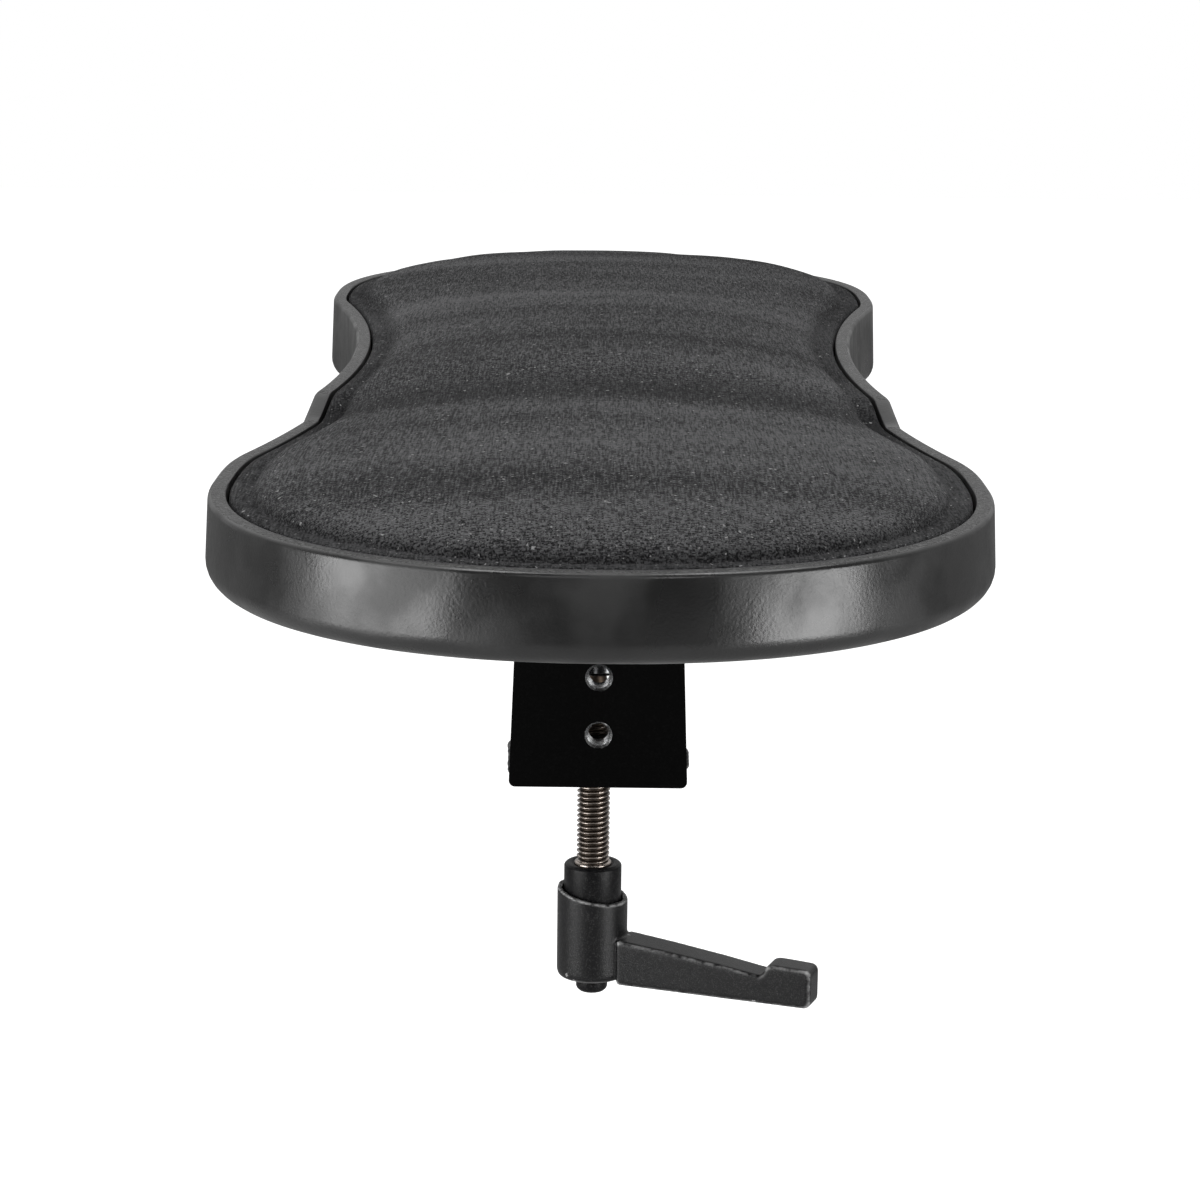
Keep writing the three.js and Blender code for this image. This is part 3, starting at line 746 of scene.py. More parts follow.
class RingBuilder:
    """Builds a shell from loops that follow the pad's outline, one extrusion for each loop."""

    def __init__(self, outline: PadOutline, count: int) -> None:
        """Start with the outline itself.

        Args:
            outline: the pad's outline.
            count: points in a loop.
        """
        self.outline = outline
        self.points, self.normals = outline.loop(count)
        self.bm = bmesh.new()
        self.station = self.bm.verts.layers.int.new("station")
        self.row = self.bm.verts.layers.int.new("row")
        circle = bmesh.ops.create_circle(self.bm, segments=count, radius=1.0)
        for index, vert in enumerate(circle["verts"]):
            vert[self.station] = index
        self.edges = list(self.bm.edges)
        self.verts = list(circle["verts"])
        self.rows = 0

    def place(self, where: Callable[[int], Vector]) -> None:
        """Move the newest loop.

        Args:
            where: gives a point for each station.
        """
        for vert in self.verts:
            vert.co = where(vert[self.station])
            vert[self.row] = self.rows

    def extrude(self) -> None:
        """Grow the next loop out of the newest one."""
        grown = bmesh.ops.extrude_edge_only(self.bm, edges=self.edges)["geom"]
        self.verts = [item for item in grown if isinstance(item, bmesh.types.BMVert)]
        fresh = set(self.verts)
        self.edges = [e for e in grown if isinstance(e, bmesh.types.BMEdge) and set(e.verts) <= fresh]
        self.rows += 1

    def add(self, inset: float, height: float, climbs: float = 0.0, ease: Optional[float] = None) -> int:
        """Add a loop at a distance inside the outline.

        Args:
            inset: the distance, in metres.
            height: its level, in metres.
            climbs: how much of the rim's ramp it follows, from 0 to 1.
            ease: how much that ramp is spread out, in metres.

        Returns:
            The loop's number.
        """
        if self.rows:
            self.extrude()
        else:
            self.rows = 1

        def where(i: int) -> Vector:
            flat = self.points[i] - self.normals[i] * inset
            return Vector((flat.x, flat.y, height + climbs * self.outline.rise(flat.y, ease)))

        self.place(where)
        return self.rows

    def loop_edges(self, row: int) -> list[bmesh.types.BMEdge]:
        """The edges that run along one loop."""
        return [e for e in self.bm.edges if all(v[self.row] == row for v in e.verts)]

    def close(self) -> None:
        """Fill the newest loop with one face."""
        bmesh.ops.contextual_create(self.bm, geom=self.edges)


# ---- the pad ------------------------------------------------------------------------------------------------


@dataclass
class Tray:
    """The moulded tray: a leaning wall, a stepped grained rim, and a floor."""

    outline: PadOutline
    wardrobe: Wardrobe
    stations: int = 480
    wall_lean: float = 0.8 * MM
    rim_inner: float = 4.2 * MM
    floor: float = 2.5 * MM
    foot_radius: float = 4.2 * MM
    rim_radius: float = 1.0 * MM

    def build(self) -> bpy.types.Object:
        """Make the tray.

        Returns:
            The tray, in place of its node.
        """
        bottom = level("armrest_tray", top=False)
        rim = level("armrest_tray") - self.outline.ramp_rise
        ring = RingBuilder(self.outline, self.stations)
        ring.add(8 * MM, bottom)
        ring.close()
        foot = ring.add(0.0, bottom)
        outer = ring.add(self.wall_lean, rim, 1.0)
        inner = ring.add(self.rim_inner, rim, 1.0)
        corner = ring.add(self.rim_inner + 0.4 * MM, bottom + self.floor)
        ring.add(12 * MM, bottom + self.floor)
        ring.close()
        for row, width, segments in (
            (foot, self.foot_radius, 7),
            (outer, self.rim_radius, 4),
            (inner, 0.45 * MM, 3),
            (corner, 1.2 * MM, 3),
        ):
            bmesh.ops.bevel(
                ring.bm, geom=ring.loop_edges(row), offset=width, segments=segments, profile=0.5, affect="EDGES", material=-1
            )
        bmesh.ops.recalc_face_normals(ring.bm, faces=ring.bm.faces)
        for face in ring.bm.faces:
            on_top = face.normal.z > 0.955 and face.calc_center_median().z > rim - 0.5 * MM
            face.material_index = 1 if on_top else 0
        tray = make_object("tray_shell", ring.bm, [self.wardrobe.by_slot[Slot.TRAY], self.wardrobe.rim], crease=50)
        return seat(tray, Body.PAD, Slot.TRAY, "armrest_tray")


@dataclass
class Cushion:
    """The fabric cushion: a flat stitched-down margin and a crown that cloth simulation fills out."""

    outline: PadOutline
    wardrobe: Wardrobe
    stations: int = 220
    edge_inset: float = 4.7 * MM
    groove_inset: float = 9.4 * MM
    crown: float = 7.6 * MM
    crown_ease: float = 13 * MM
    pressure: float = 4.0
    frames: int = 20
    cap: float = 0.8 * MM
    smoothing: int = 8

    def shell(self) -> tuple[RingBuilder, int]:
        """The slack shell, before it is filled.

        Returns:
            The builder, and the number of the last loop that is sewn down.
        """
        rim = level("armrest_tray") - self.outline.ramp_rise
        under = level("base_board") + 0.5 * MM
        ring = RingBuilder(self.outline, self.stations)
        ring.add(16 * MM, under)
        ring.close()
        ring.add(self.edge_inset, under)
        sewn = 0
        margin = ((0.0, -1.5), (0.12, -0.6), (0.5, -0.15), (1.5, 0.05), (3.2, 0.05), (4.4, -0.35))
        for step, height in margin:
            sewn = ring.add(self.edge_inset + step * MM, rim + height * MM, 1.0, 0.5 * MM)
        side = ((-0.2, 0.5), (0.1, 1.5), (0.9, 2.4), (2.4, 3.1), (5.0, 3.7), (8.8, 4.3), (12.6, 4.8))
        for number, (step, height) in enumerate(side, 1):
            ease = self.crown_ease * number / len(side)
            ring.add(self.groove_inset + step * MM, rim + height * MM, 1.0, ease)
        self.fill_centre(ring, rim)
        return ring, sewn

    def fill_centre(self, ring: RingBuilder, rim: float) -> None:
        """Close the crown with loops that shrink onto the pad's middle line.

        Args:
            ring: the builder, at the last loop of the crown's side.
            rim: the low rim's height.
        """
        start = {v[ring.station]: v.co.copy() for v in ring.verts}
        level_edge = start[0].z - rim - self.outline.rise(start[0].y, self.crown_ease)
        lift = self.crown - level_edge
        spine = self.outline.lobe_centre * 0.96
        steps = 14
        for k in range(1, steps + 1):
            t = k / steps

            def where(i: int) -> Vector:
                edge = start[i]
                middle = Vector((0, max(-spine, min(spine, edge.y * 0.72))))
                flat = Vector(edge.xy).lerp(middle, t)
                dome = level_edge + lift * math.sin(t * math.pi / 2)
                return Vector((flat.x, flat.y, rim + dome + self.outline.rise(flat.y, self.crown_ease)))

            ring.extrude()
            ring.place(where)
        inner = [v for v in ring.bm.verts if v[ring.row] > ring.rows - 6]
        bmesh.ops.remove_doubles(ring.bm, verts=inner, dist=2.0 * MM)

    def pucker(self, piece: bpy.types.Object, shape: Sequence[Vector]) -> None:
        """Gather the cloth where it is sewn down, let the crown wander a little, and store the mask of painted shade
        for the margin.

        Args:
            piece: the cushion.
            shape: where each point is before.
        """
        points, _ = self.outline.loop(720)
        tree = kdtree.KDTree(len(points))
        for i, point in enumerate(points):
            tree.insert((point.x, point.y, 0), i)
        tree.balance()
        rim = level("armrest_tray") - self.outline.ramp_rise
        painted_margin_shade = piece.data.attributes.new(PAINTED_MARGIN_SHADE, "FLOAT", "POINT")
        for vert, co in zip(piece.data.vertices, shape):
            if co.z < rim - 4 * MM:
                continue
            _, station, inset = tree.find((co.x, co.y, 0))
            near = math.exp(-(((inset - self.groove_inset) / (3.4 * MM)) ** 2))
            # The mask of painted shade: full up to 9 mm inside the edge, gone by 12.5 mm.
            painted_margin_shade.data[vert.index].value = min(1.0, max(0.0, (12.5 * MM - inset) / (3.5 * MM)))
            gather = noise.noise(Vector((station * 0.55, 2.0, 0.0))) + 0.6 * noise.noise(Vector((station * 1.3, 7.0, 0)))
            wander = noise.noise(co * 30.0) * 0.24 + noise.noise(co * 80.0) * 0.1
            inside = min(1.0, max(0.0, (inset - 14 * MM) / (22 * MM)))
            vert.co.z += (0.2 * near * gather + wander * inside) * MM

    def simulate(self, piece: bpy.types.Object, sewn: Sequence[int]) -> None:
        """Fill the shell with air by cloth simulation, then keep the result.

        Args:
            piece: the slack shell, which takes the filled shape.
            sewn: the points that stay put.
        """
        scene = bpy.context.scene
        group = piece.vertex_groups.new(name="sewn")
        group.add(list(sewn), 1.0, "REPLACE")
        cloth = piece.modifiers.new("fill", "CLOTH")
        cloth.settings.quality = 6
        cloth.settings.mass = 0.25
        cloth.settings.tension_stiffness = 18
        cloth.settings.compression_stiffness = 18
        cloth.settings.bending_stiffness = 1.2
        cloth.settings.use_pressure = True
        cloth.settings.uniform_pressure_force = self.pressure
        cloth.settings.vertex_group_mass = group.name
        cloth.settings.effector_weights.gravity = 0
        cloth.collision_settings.use_collision = False
        cloth.point_cache.frame_end = self.frames
        for number in range(1, self.frames + 1):
            scene.frame_set(number)
        filled = evaluated_mesh(piece)
        held = set(sewn)
        for vert, after in zip(piece.data.vertices, filled.vertices):
            move = after.co - vert.co
            if move.length > self.cap:
                move *= self.cap / move.length
            vert.co += move
        piece.modifiers.remove(cloth)
        bpy.data.meshes.remove(filled)
        scene.frame_set(1)
        bm = bmesh.new()
        bm.from_mesh(piece.data)
        free = [vert for vert in bm.verts if vert.index not in held]
        for _ in range(self.smoothing):
            bmesh.ops.smooth_vert(bm, verts=free, factor=0.5, use_axis_z=True)
        bm.to_mesh(piece.data)
        bm.free()

    def build(self) -> bpy.types.Object:
        """Make the cushion.

        Returns:
            The cushion, in place of the cover and its foam.
        """
        ring, last_sewn = self.shell()
        bmesh.ops.triangulate(ring.bm, faces=[face for face in ring.bm.faces if len(face.verts) > 4])
        bmesh.ops.recalc_face_normals(ring.bm, faces=ring.bm.faces)
        ring.bm.verts.index_update()
        sewn = [v.index for v in ring.bm.verts if v[ring.row] <= last_sewn]
        cushion = make_object("fabric_cushion", ring.bm, [self.wardrobe.by_slot[Slot.FABRIC]], crease=180)
        self.simulate(cushion, sewn)
        smooth = cushion.modifiers.new("smooth", "SUBSURF")
        smooth.levels = smooth.render_levels = 2
        finished = evaluated_mesh(cushion)
        cushion.modifiers.remove(smooth)
        cushion.data = finished
        self.pucker(cushion, [v.co.copy() for v in finished.vertices])
        seat(cushion, Body.PAD, Slot.FABRIC, "fabric_cover", "foam_core")
        return cushion


# ---- hardware that keeps its CAD shape, with its edges broken -------------------------------------------------


@dataclass(frozen=True)
class Softened:
    """A node whose shape is right and whose edges need a radius."""

    node: str
    body: Body
    slot: Slot
    edge: float = 0.25 * MM
    segments: int = 3
    # Whether the piece takes the cast finish without its painted edge highlight.
    without_edge_highlight: bool = False

    def build(self, wardrobe: Wardrobe) -> bpy.types.Object:
        """Make the piece from the node.

        Args:
            wardrobe: the materials.

        Returns:
            The piece, in place of the node.
        """
        bm = node_bmesh(self.node)
        round_edges(bm, self.edge, self.segments)
        finish = wardrobe.cast_without_edge_highlight if self.without_edge_highlight else wardrobe.by_slot[self.slot]
        piece = make_object(self.node + "_finished", bm, [finish], crease=30)
        return seat(piece, self.body, self.slot, self.node)


SOFTENED = (
    Softened("swivel_plate", Body.PAD, Slot.POWDER, 0.5 * MM),
    Softened("lower_arm", Body.BRACKET, Slot.POWDER, 0.6 * MM),
    Softened("jaw_pad", Body.BRACKET, Slot.RUBBER, 0.5 * MM),
    Softened("friction_washer", Body.BRACKET, Slot.NYLON, 0.3 * MM),
    Softened("foot_pad", Body.FOOT, Slot.RUBBER, 0.2 * MM),
    Softened("pressure_foot", Body.FOOT, Slot.ZINC, 0.25 * MM),
    Softened("handle_screw", Body.SCREW, Slot.CAST, 0.3 * MM, without_edge_highlight=True),
    *(Softened(f"plate_screw_{i}", Body.PAD, Slot.ZINC, 0.15 * MM, 2) for i in range(1, 5)),
    *(Softened(f"board_screw_{i}", Body.PAD, Slot.ZINC, 0.2 * MM, 2) for i in range(1, 5)),
)


# ---- the bracket --------------------------------------------------------------------------------------------


@dataclass
class Bracket:
    """The bent plate, its bare-edged holes and its weld beads."""

    wardrobe: Wardrobe
    hole_heights: tuple[float, float] = (-35.8 * MM, -49.5 * MM)
    hole_radius: float = 2.75 * MM
    thread_pitch: float = 1.0 * MM
    edge: float = 0.7 * MM

    def build(self) -> None:
        """Make the plate, the threads in its holes and the welds."""
        bm = node_bmesh("clamp_bracket")
        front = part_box("clamp_bracket")[0].y
        for face in bm.faces:
            middle = face.calc_center_median()
            reach = min(math.hypot(middle.x, middle.z - height) for height in self.hole_heights)
            bare = reach < self.hole_radius + 1.3 * MM and abs(face.normal.y) < 0.97 and middle.y < front + 7 * MM
            face.material_index = 1 if bare else 0
        limit = math.radians(35)
        sharp = [
            e
            for e in bm.edges
            if e.is_manifold and e.calc_face_angle(0.0) > limit and not any(f.material_index for f in e.link_faces)
        ]
        bmesh.ops.bevel(
            bm, geom=sharp, offset=self.edge, segments=4, profile=0.5, affect="EDGES", clamp_overlap=True, material=-1
        )
        materials = [self.wardrobe.by_slot[Slot.POWDER], self.wardrobe.by_slot[Slot.ZINC]]
        plate = make_object("bent_plate", bm, materials, crease=32)
        seat(plate, Body.BRACKET, Slot.POWDER, "clamp_bracket")
        for number, height in enumerate(self.hole_heights, 1):
            self.hole_thread(number, height, front)
        for node in ("weld_left", "weld_right", "weld_top"):
            self.weld(node)

    def hole_thread(self, number: int, height: float, front: float) -> None:
        """Line a hole with its bare thread.

        Args:
            number: the hole's number.
            height: the hole's level.
            front: the plate's front face.
        """
        bm = bmesh.new()
        pitch, radius = self.thread_pitch, self.hole_radius
        section = ((0.0, 0.12), (0.4, -0.32), (0.6, -0.32), (1.0, 0.12))
        verts = [bm.verts.new((radius + depth * MM, front + 0.4 * MM + t * pitch, height)) for t, depth in section]
        edges = [bm.edges.new(pair) for pair in zip(verts, verts[1:])]
        turns, steps = 5, 32
        bmesh.ops.spin(
            bm,
            geom=verts + edges,
            cent=(0, front, height),
            axis=(0, 1, 0),
            dvec=(0, pitch / steps, 0),
            angle=math.tau * turns,
            steps=steps * turns,
        )
        bmesh.ops.remove_doubles(bm, verts=bm.verts, dist=0.02 * MM)
        bmesh.ops.solidify(bm, geom=bm.faces[:], thickness=0.08 * MM)
        bmesh.ops.recalc_face_normals(bm, faces=bm.faces)
        liner = make_object(f"hole_thread_{number}", bm, [self.wardrobe.by_slot[Slot.ZINC]], crease=60)
        seat(liner, Body.BRACKET, Slot.ZINC)

    def weld(self, node: str) -> None:
        """Make a bead of overlapping ripples in a weld's place.

        Args:
            node: the weld's node.
        """
        low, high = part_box(node)
        size = high - low
        run = max(range(3), key=lambda axis: size[axis])
        radius = min(size) / 2
        centre = (low + high) / 2
        bm = bmesh.new()
        ripples = max(4, round(size[run] / (1.7 * MM)))
        for k in range(ripples):
            at = centre.copy()
            at[run] = low[run] + radius * 0.75 + (size[run] - 1.5 * radius) * k / (ripples - 1)
            wobble = 1 + 0.08 * noise.noise(Vector((k * 1.7, size[run] * 900, 0)))
            scale = Matrix.Diagonal((*(0.98 * radius * wobble,) * 3, 1.0))
            scale[run][run] = radius * 0.74
            bmesh.ops.create_icosphere(bm, subdivisions=3, radius=1.0, matrix=Matrix.Translation(at) @ scale)
        bead = make_object(node + "_bead", bm, [self.wardrobe.by_slot[Slot.WELD]])
        fuse(bead, 0.28 * MM, 2)
        seat(bead, Body.BRACKET, Slot.WELD, node)


def fuse(piece: bpy.types.Object, voxel: float, rounds: int) -> None:
    """Join overlapping shells into one skin and soften it.

    Args:
        piece: the object, whose mesh is replaced.
        voxel: the remesh size, in metres.
        rounds: passes of smoothing.
    """
    remesh = piece.modifiers.new("fuse", "REMESH")
    remesh.mode = "VOXEL"
    remesh.voxel_size = voxel
    remesh.use_smooth_shade = True
    fused = evaluated_mesh(piece)
    piece.modifiers.remove(remesh)
    bm = bmesh.new()
    bm.from_mesh(fused)
    for _ in range(rounds):
        bmesh.ops.smooth_vert(bm, verts=bm.verts, factor=0.5, use_axis_x=True, use_axis_y=True, use_axis_z=True)
    bm.to_mesh(fused)
    bm.free()
    fused.polygons.foreach_set("use_smooth", [True] * len(fused.polygons))
    piece.data = fused


# ---- the clamp screw and its handle ---------------------------------------------------------------------------


@dataclass
class ClampScrew:
    """The threaded screw with its ball end, its shoulder ring and the serrated insert."""

    wardrobe: Wardrobe
    pitch: float = 1.25 * MM
    radius: float = 4.0 * MM
    root: float = 3.3 * MM
    steps: int = 40

    def build(self) -> None:
        """Make the screw, the shoulder and the insert."""
        centre = tuple(STUD_CENTRE.xy)
        self.thread(centre)
        top = level("handle_insert") / MM
        shoulder = lathe(
            mm_profile((0, top - 2), (4.4, top - 2), (4.6, top - 0.1), (4.45, top + 0.3), (3.9, top + 0.6), (0, top + 0.6)),
            centre,
        )
        round_edges(shoulder, 0.12 * MM, 2, 20)
        ring = make_object("screw_shoulder", shoulder, [self.wardrobe.by_slot[Slot.STEEL]])
        seat(ring, Body.SCREW, Slot.STEEL)
        self.insert(centre, top)

    def thread(self, centre: Point) -> None:
        """Cut the thread and add the ball end.

        Args:
            centre: the screw's axis.
        """
        low, high = (corner.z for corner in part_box("clamp_stud"))
        start = level("handle_insert") - 2 * MM
        ball, ball_radius, neck = high - 3.7 * MM, 3.7 * MM, 2.6 * MM
        thread_top = ball - 6.0 * MM
        bm = bmesh.new()
        section = ((0.0, self.root), (0.12, self.root), (0.44, self.radius), (0.56, self.radius), (0.88, self.root), (1.0, self.root))
        verts = [bm.verts.new((centre[0] + r, centre[1], start - self.pitch + t * self.pitch)) for t, r in section]
        edges = [bm.edges.new(pair) for pair in zip(verts, verts[1:])]
        turns = round((thread_top - start) / self.pitch) + 2
        bmesh.ops.spin(
            bm,
            geom=verts + edges,
            cent=(*centre, 0),
            axis=(0, 0, 1),
            dvec=(0, 0, self.pitch / self.steps),
            angle=math.tau * turns,
            steps=self.steps * turns,
        )
        bmesh.ops.remove_doubles(bm, verts=bm.verts, dist=0.01 * MM)
        for height, upwards in ((start, -1), (thread_top, 1)):
            cut = bmesh.ops.bisect_plane(
                bm, geom=bm.verts[:] + bm.edges[:] + bm.faces[:], plane_co=(0, 0, height), plane_no=(0, 0, upwards), clear_outer=True
            )
            rim = [e for e in cut["geom_cut"] if isinstance(e, bmesh.types.BMEdge)]
            bmesh.ops.contextual_create(bm, geom=rim)
        bmesh.ops.recalc_face_normals(bm, faces=bm.faces)
        screw = make_object("threaded_screw", bm, [self.wardrobe.by_slot[Slot.STEEL]], crease=50)
        seat(screw, Body.SCREW, Slot.STEEL, "clamp_stud")
        profile = [(0.0, thread_top - 0.5 * MM), (self.root, thread_top - 0.5 * MM), (self.root, thread_top + 0.6 * MM), (neck, ball - 3.2 * MM)]
        first = -math.acos(neck / ball_radius)
        for k in range(17):
            angle = first + (math.pi / 2 - first) * k / 16
            profile.append((ball_radius * math.cos(angle) if k < 16 else 0.0, ball + ball_radius * math.sin(angle)))
        tip = make_object("ball_end", lathe(profile, centre, 48), [self.wardrobe.by_slot[Slot.STEEL]])
        seat(tip, Body.SCREW, Slot.STEEL)

    def insert(self, centre: Point, top: float) -> None:
        """Turn the insert that the lever indexes on.

        Args:
            centre: its axis.
            top: its top, in millimetres.
        """
        low = level("handle_insert", top=False) / MM
        body = lathe(
            mm_profile(
                (0, low), (4.6, low), (4.6, low + 5.5), (7, low + 5.5), (7, top - 0.55), (6.45, top), (5.3, top), (4.9, top - 0.5), (0, top - 0.5)
            ),
            centre,
            96,
        )
        round_edges(body, 0.22 * MM, 3, 30)
        insert = make_object("index_insert", body, [self.wardrobe.cast_without_edge_highlight])
        seat(insert, Body.SCREW, Slot.CAST, "handle_insert")


@dataclass
class Lever:
    """The die-cast lever: a hub with a slanted top, and an arm that dips to a notch below its thumb rest."""

    wardrobe: Wardrobe
    azimuth: float = math.radians(-21)
    slant: float = 0.19
    slant_level: float = -96.4 * MM
    hub_radius: float = 8.6 * MM
    hub_bottom: float = -117.6 * MM
    bore: float = 7.3 * MM
    bore_floor: float = -104 * MM
    well: float = 4.6 * MM
    voxel: float = 0.3 * MM
    root_half: float = 4.9 * MM
    tip_half: float = 3.7 * MM

    def hub(self) -> bmesh.types.BMesh:
        """The hub, with its bore above and its well below.

        Returns:
            The closed hub, standing on the screw's axis at the origin.
        """
        r, b, w, low = (v / MM for v in (self.hub_radius, self.bore, self.well, self.hub_bottom))
        floor = self.bore_floor / MM
        bm = lathe(
            mm_profile(
                (w, low), (r - 1.3, low), (r - 0.35, low + 0.4), (r, low + 1.5), (r, -90), (b, -90), (b, floor), (2.4, floor), (2.4, floor - 2.6), (w, floor - 2.6), (w, low)
            ),
            steps=96,
        )
        tilt = Matrix.Rotation(self.slant, 3, "Y") @ Vector((0, 0, 1))
        cut = bmesh.ops.bisect_plane(
            bm, geom=bm.verts[:] + bm.edges[:] + bm.faces[:], plane_co=(0, 0, self.slant_level), plane_no=tilt, clear_outer=True
        )
        bmesh.ops.bridge_loops(bm, edges=[e for e in cut["geom_cut"] if isinstance(e, bmesh.types.BMEdge)])
        bmesh.ops.recalc_face_normals(bm, faces=bm.faces)
        return bm

    def arm(self) -> bmesh.types.BMesh:
        """The arm, cut from its side outline and tapered in plan.

        Returns:
            The closed arm, along +X.
        """
        outline = (
            (8.0, -118.0), (57.0, -118.0), (57.0, -108.4), (47.0, -108.1), (46.0, -108.6), (44.9, -110.5),
            (44.0, -111.0), (42.6, -110.8), (33.5, -109.5), (20.0, -107.9), (8.0, -106.7),
        )
        bm = bmesh.new()
        verts = [bm.verts.new((x * MM, -self.root_half, z * MM)) for x, z in outline]
        side = bm.faces.new(verts)
        grown = bmesh.ops.extrude_face_region(bm, geom=[side])["geom"]
        moved = [item for item in grown if isinstance(item, bmesh.types.BMVert)]
        bmesh.ops.translate(bm, verts=moved, vec=(0, 2 * self.root_half, 0))
        for vert in bm.verts:
            t = (vert.co.x - 8 * MM) / (49 * MM)
            half = self.root_half + (self.tip_half - self.root_half) * t
            vert.co.y *= half / self.root_half
        bmesh.ops.recalc_face_normals(bm, faces=bm.faces)
        for corner, radius in (((57.0, -118.0), 1.6), ((57.0, -108.4), 1.6), ((47.0, -108.1), 0.8)):
            across = [e for e in bm.edges if all((v.co.xz - Vector(corner) * MM).length < 0.05 * MM for v in e.verts)]
            bmesh.ops.bevel(
                bm, geom=across, offset=radius * MM, segments=5, profile=0.5, affect="EDGES", material=-1
            )
        round_edges(bm, 0.75 * MM, 3, 40)
        return bm

    def build(self) -> bpy.types.Object:
        """Make the lever.

        Returns:
            The lever, in place of its node.
        """
        joined = self.hub()
        arm = self.arm()
        scratch = bpy.data.meshes.new("arm")
        arm.to_mesh(scratch)
        arm.free()
        joined.from_mesh(scratch)
        turn = Matrix.Translation((*STUD_CENTRE.xy, 0)) @ Matrix.Rotation(self.azimuth, 4, "Z")
        bmesh.ops.transform(joined, matrix=turn, verts=joined.verts)
        lever = make_object("indexing_lever", joined, [self.wardrobe.by_slot[Slot.CAST]])
        fuse(lever, self.voxel, 5)
        return seat(lever, Body.LEVER, Slot.CAST, "clamp_lever")


@dataclass
class ReturnSpring:
    """The coil that draws the lever back onto its teeth."""

    wardrobe: Wardrobe
    radius: float = 3.1 * MM
    wire: float = 0.4 * MM
    turns: float = 3.5
    steps: int = 98

    def build(self) -> bpy.types.Object:
        """Wind the coil.

        Returns:
            The spring, in place of its node, between the screw below and the lever above; it rides on no body.
        """
        low, high = (corner.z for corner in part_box("handle_spring"))
        centre = (*STUD_CENTRE.xy, 0)
        start = Matrix.Translation((centre[0] + self.radius, centre[1], low + self.wire))
        bm = bmesh.new()
        bmesh.ops.create_circle(
            bm, segments=14, radius=self.wire, matrix=start @ Matrix.Rotation(math.pi / 2, 4, "X")
        )
        rise = high - low - 2 * self.wire
        bmesh.ops.spin(
            bm,
            geom=bm.verts[:] + bm.edges[:],
            cent=centre,
            axis=(0, 0, 1),
            dvec=(0, 0, rise / self.steps),
            angle=math.tau * self.turns,
            steps=self.steps,
        )
        bmesh.ops.holes_fill(bm, edges=[edge for edge in bm.edges if edge.is_boundary], sides=0)
        bmesh.ops.recalc_face_normals(bm, faces=bm.faces)
        spring = make_object("return_spring", bm, [self.wardrobe.by_slot[Slot.STEEL]])
        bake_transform(spring)
        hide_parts("handle_spring")
        LOG.info("%s: %d faces between the screw and the lever", spring.name, len(spring.data.polygons))
        return spring


# ---- the studio -----------------------------------------------------------------------------------------------


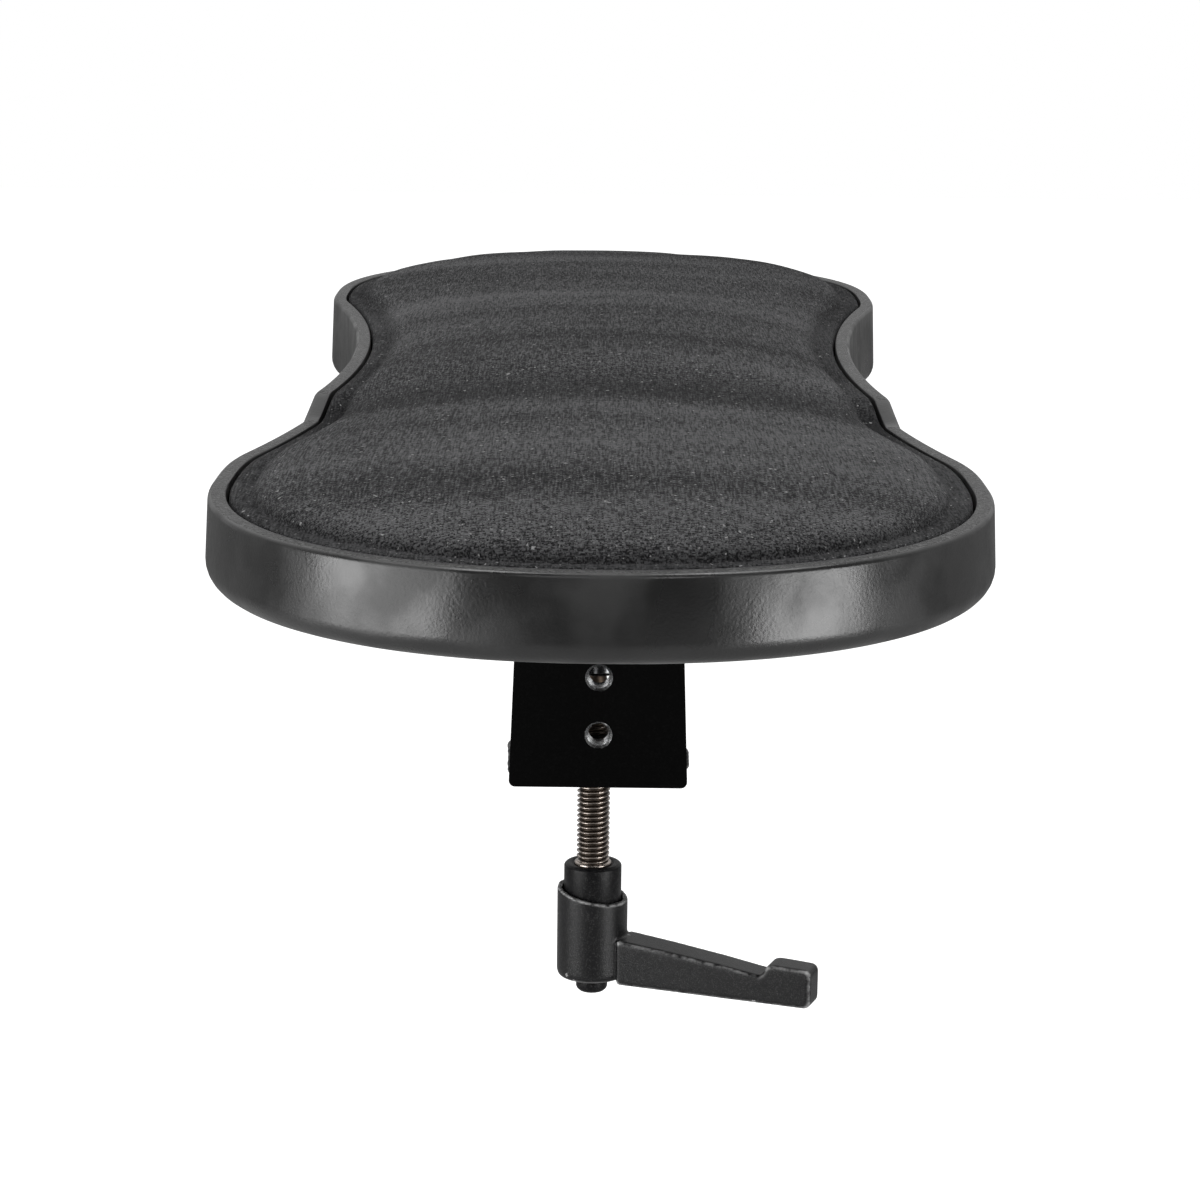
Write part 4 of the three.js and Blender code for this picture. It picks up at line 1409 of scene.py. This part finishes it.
@dataclass
class Studio:
    """The camera, the soft lights, the pale floor and the bright backdrop."""

    lens: float = 93.6
    reach: float = 729.5 * MM
    eye_height: float = 132.6 * MM
    pitch: float = math.radians(12.1)
    yaw: float = 0.0
    roll: float = math.radians(0.65)
    floor_drop: float = 0.3

    def camera(self) -> None:
        """Stand the camera on the pad's middle line, looking down along it."""
        data = bpy.data.cameras.new("camera")
        data.lens = self.lens
        data.sensor_width = 36.0
        data.clip_start = 0.02
        camera = bpy.data.objects.new("camera", data)
        round_pad = Matrix.Rotation(self.yaw, 4, "Z")
        stand = round_pad @ Matrix.Translation((0, -self.reach, self.eye_height))
        aim = Matrix.Rotation(math.pi / 2 - self.pitch, 4, "X") @ Matrix.Rotation(self.roll, 4, "Z")
        camera.matrix_world = stand @ aim
        bpy.context.scene.collection.objects.link(camera)
        bpy.context.scene.camera = camera

    def softbox(self, name: str, place: Vector, size: Point, power: float) -> None:
        """Hang a soft light that looks at the pad.

        Args:
            name: the light's name.
            place: where it hangs.
            size: its width and height.
            power: in watts.
        """
        data = bpy.data.lights.new(name, "AREA")
        data.shape = "RECTANGLE"
        data.size, data.size_y = size
        data.energy = power
        light = bpy.data.objects.new(name, data)
        light.matrix_world = Matrix.Translation(place) @ (-place).to_track_quat("-Z", "Y").to_matrix().to_4x4()
        bpy.context.scene.collection.objects.link(light)

    def backdrop(self) -> None:
        """A world that is bright behind the pad and dim on the camera's side, and white where it is seen."""
        world = bpy.data.worlds.new("backdrop")
        bpy.context.scene.world = world
        world.use_nodes = True
        graph = NodeGraph(world.node_tree)
        direction = graph.node("ShaderNodeTexCoord", output="Generated")
        behind = graph.node("ShaderNodeSeparateXYZ", None, {"Vector": direction}, output="Y")
        fade = {"Value": behind, "From Min": -0.35, "From Max": 0.9, "To Min": 0.02, "To Max": 1.2}
        overall = graph.node("ShaderNodeMapRange", {"interpolation_type": "SMOOTHSTEP"}, fade)
        height = graph.node("ShaderNodeSeparateXYZ", None, {"Vector": direction}, output="Z")
        strength = overall * (height.ramp(0.2, 0.5) * 0.6 + 0.4)
        white = (1, 1, 1, 1)
        glow = graph.node("ShaderNodeBackground", None, {"Color": white, "Strength": strength})
        seen = graph.node("ShaderNodeBackground", None, {"Color": white})
        seen_directly = graph.node("ShaderNodeLightPath", output="Is Camera Ray")
        both = graph.node("ShaderNodeMixShader", None, {0: seen_directly, 1: glow, 2: seen})
        graph.feed(graph.tree.nodes["World Output"].inputs["Surface"], both)

    def floor(self) -> None:
        """A pale floor, below the lever."""
        graph = ShaderGraph("pale_floor")
        seen = graph.node("ShaderNodeLightPath", output="Is Camera Ray")
        graph.set(Base_Color=(0.45, 0.45, 0.45, 1.0), Roughness=0.9, Specular_IOR_Level=0.0)
        graph.set(Emission_Color=graph.mix(seen, (0, 0, 0), (1, 1, 1)), Emission_Strength=1.0)
        bm = bmesh.new()
        bmesh.ops.create_grid(bm, x_segments=2, y_segments=2, size=6.0)
        bmesh.ops.translate(bm, verts=bm.verts, vec=(0, 0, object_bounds()[0].z - self.floor_drop))
        make_object("floor", bm, [graph.material])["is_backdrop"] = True

    def build(self) -> None:
        """Set the whole studio up."""
        bpy.context.scene.view_settings.view_transform = "Standard"
        self.camera()
        self.backdrop()
        self.floor()
        self.softbox("left_softbox", Vector((-1.0, -0.65, 0.0)), (0.9, 0.7), 16.0)
        self.softbox("right_softbox", Vector((1.0, -0.75, -0.1)), (0.7, 0.6), 12.0)
        self.softbox("front_top", Vector((0.1, -1.3, 0.62)), (0.9, 0.25), 3.0)
        self.softbox("left_top", Vector((-0.45, -0.2, 1.2)), (0.6, 0.6), 8.0)
        self.softbox("right_top", Vector((0.45, -0.2, 1.2)), (0.6, 0.6), 8.0)


def main() -> None:
    """Build the studio, then each sub-assembly in turn."""
    logging.basicConfig(level=logging.INFO, format="%(name)s %(message)s")
    Studio().build()
    wardrobe = Wardrobe()
    low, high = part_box("armrest_tray")
    outline = PadOutline(half_length=high.y, half_width=high.x)
    Tray(outline, wardrobe).build()
    Cushion(outline, wardrobe).build()
    for softened in SOFTENED:
        softened.build(wardrobe)
    Bracket(wardrobe).build()
    ClampScrew(wardrobe).build()
    Lever(wardrobe).build()
    ReturnSpring(wardrobe).build()


if __name__ == "__main__":
    main()
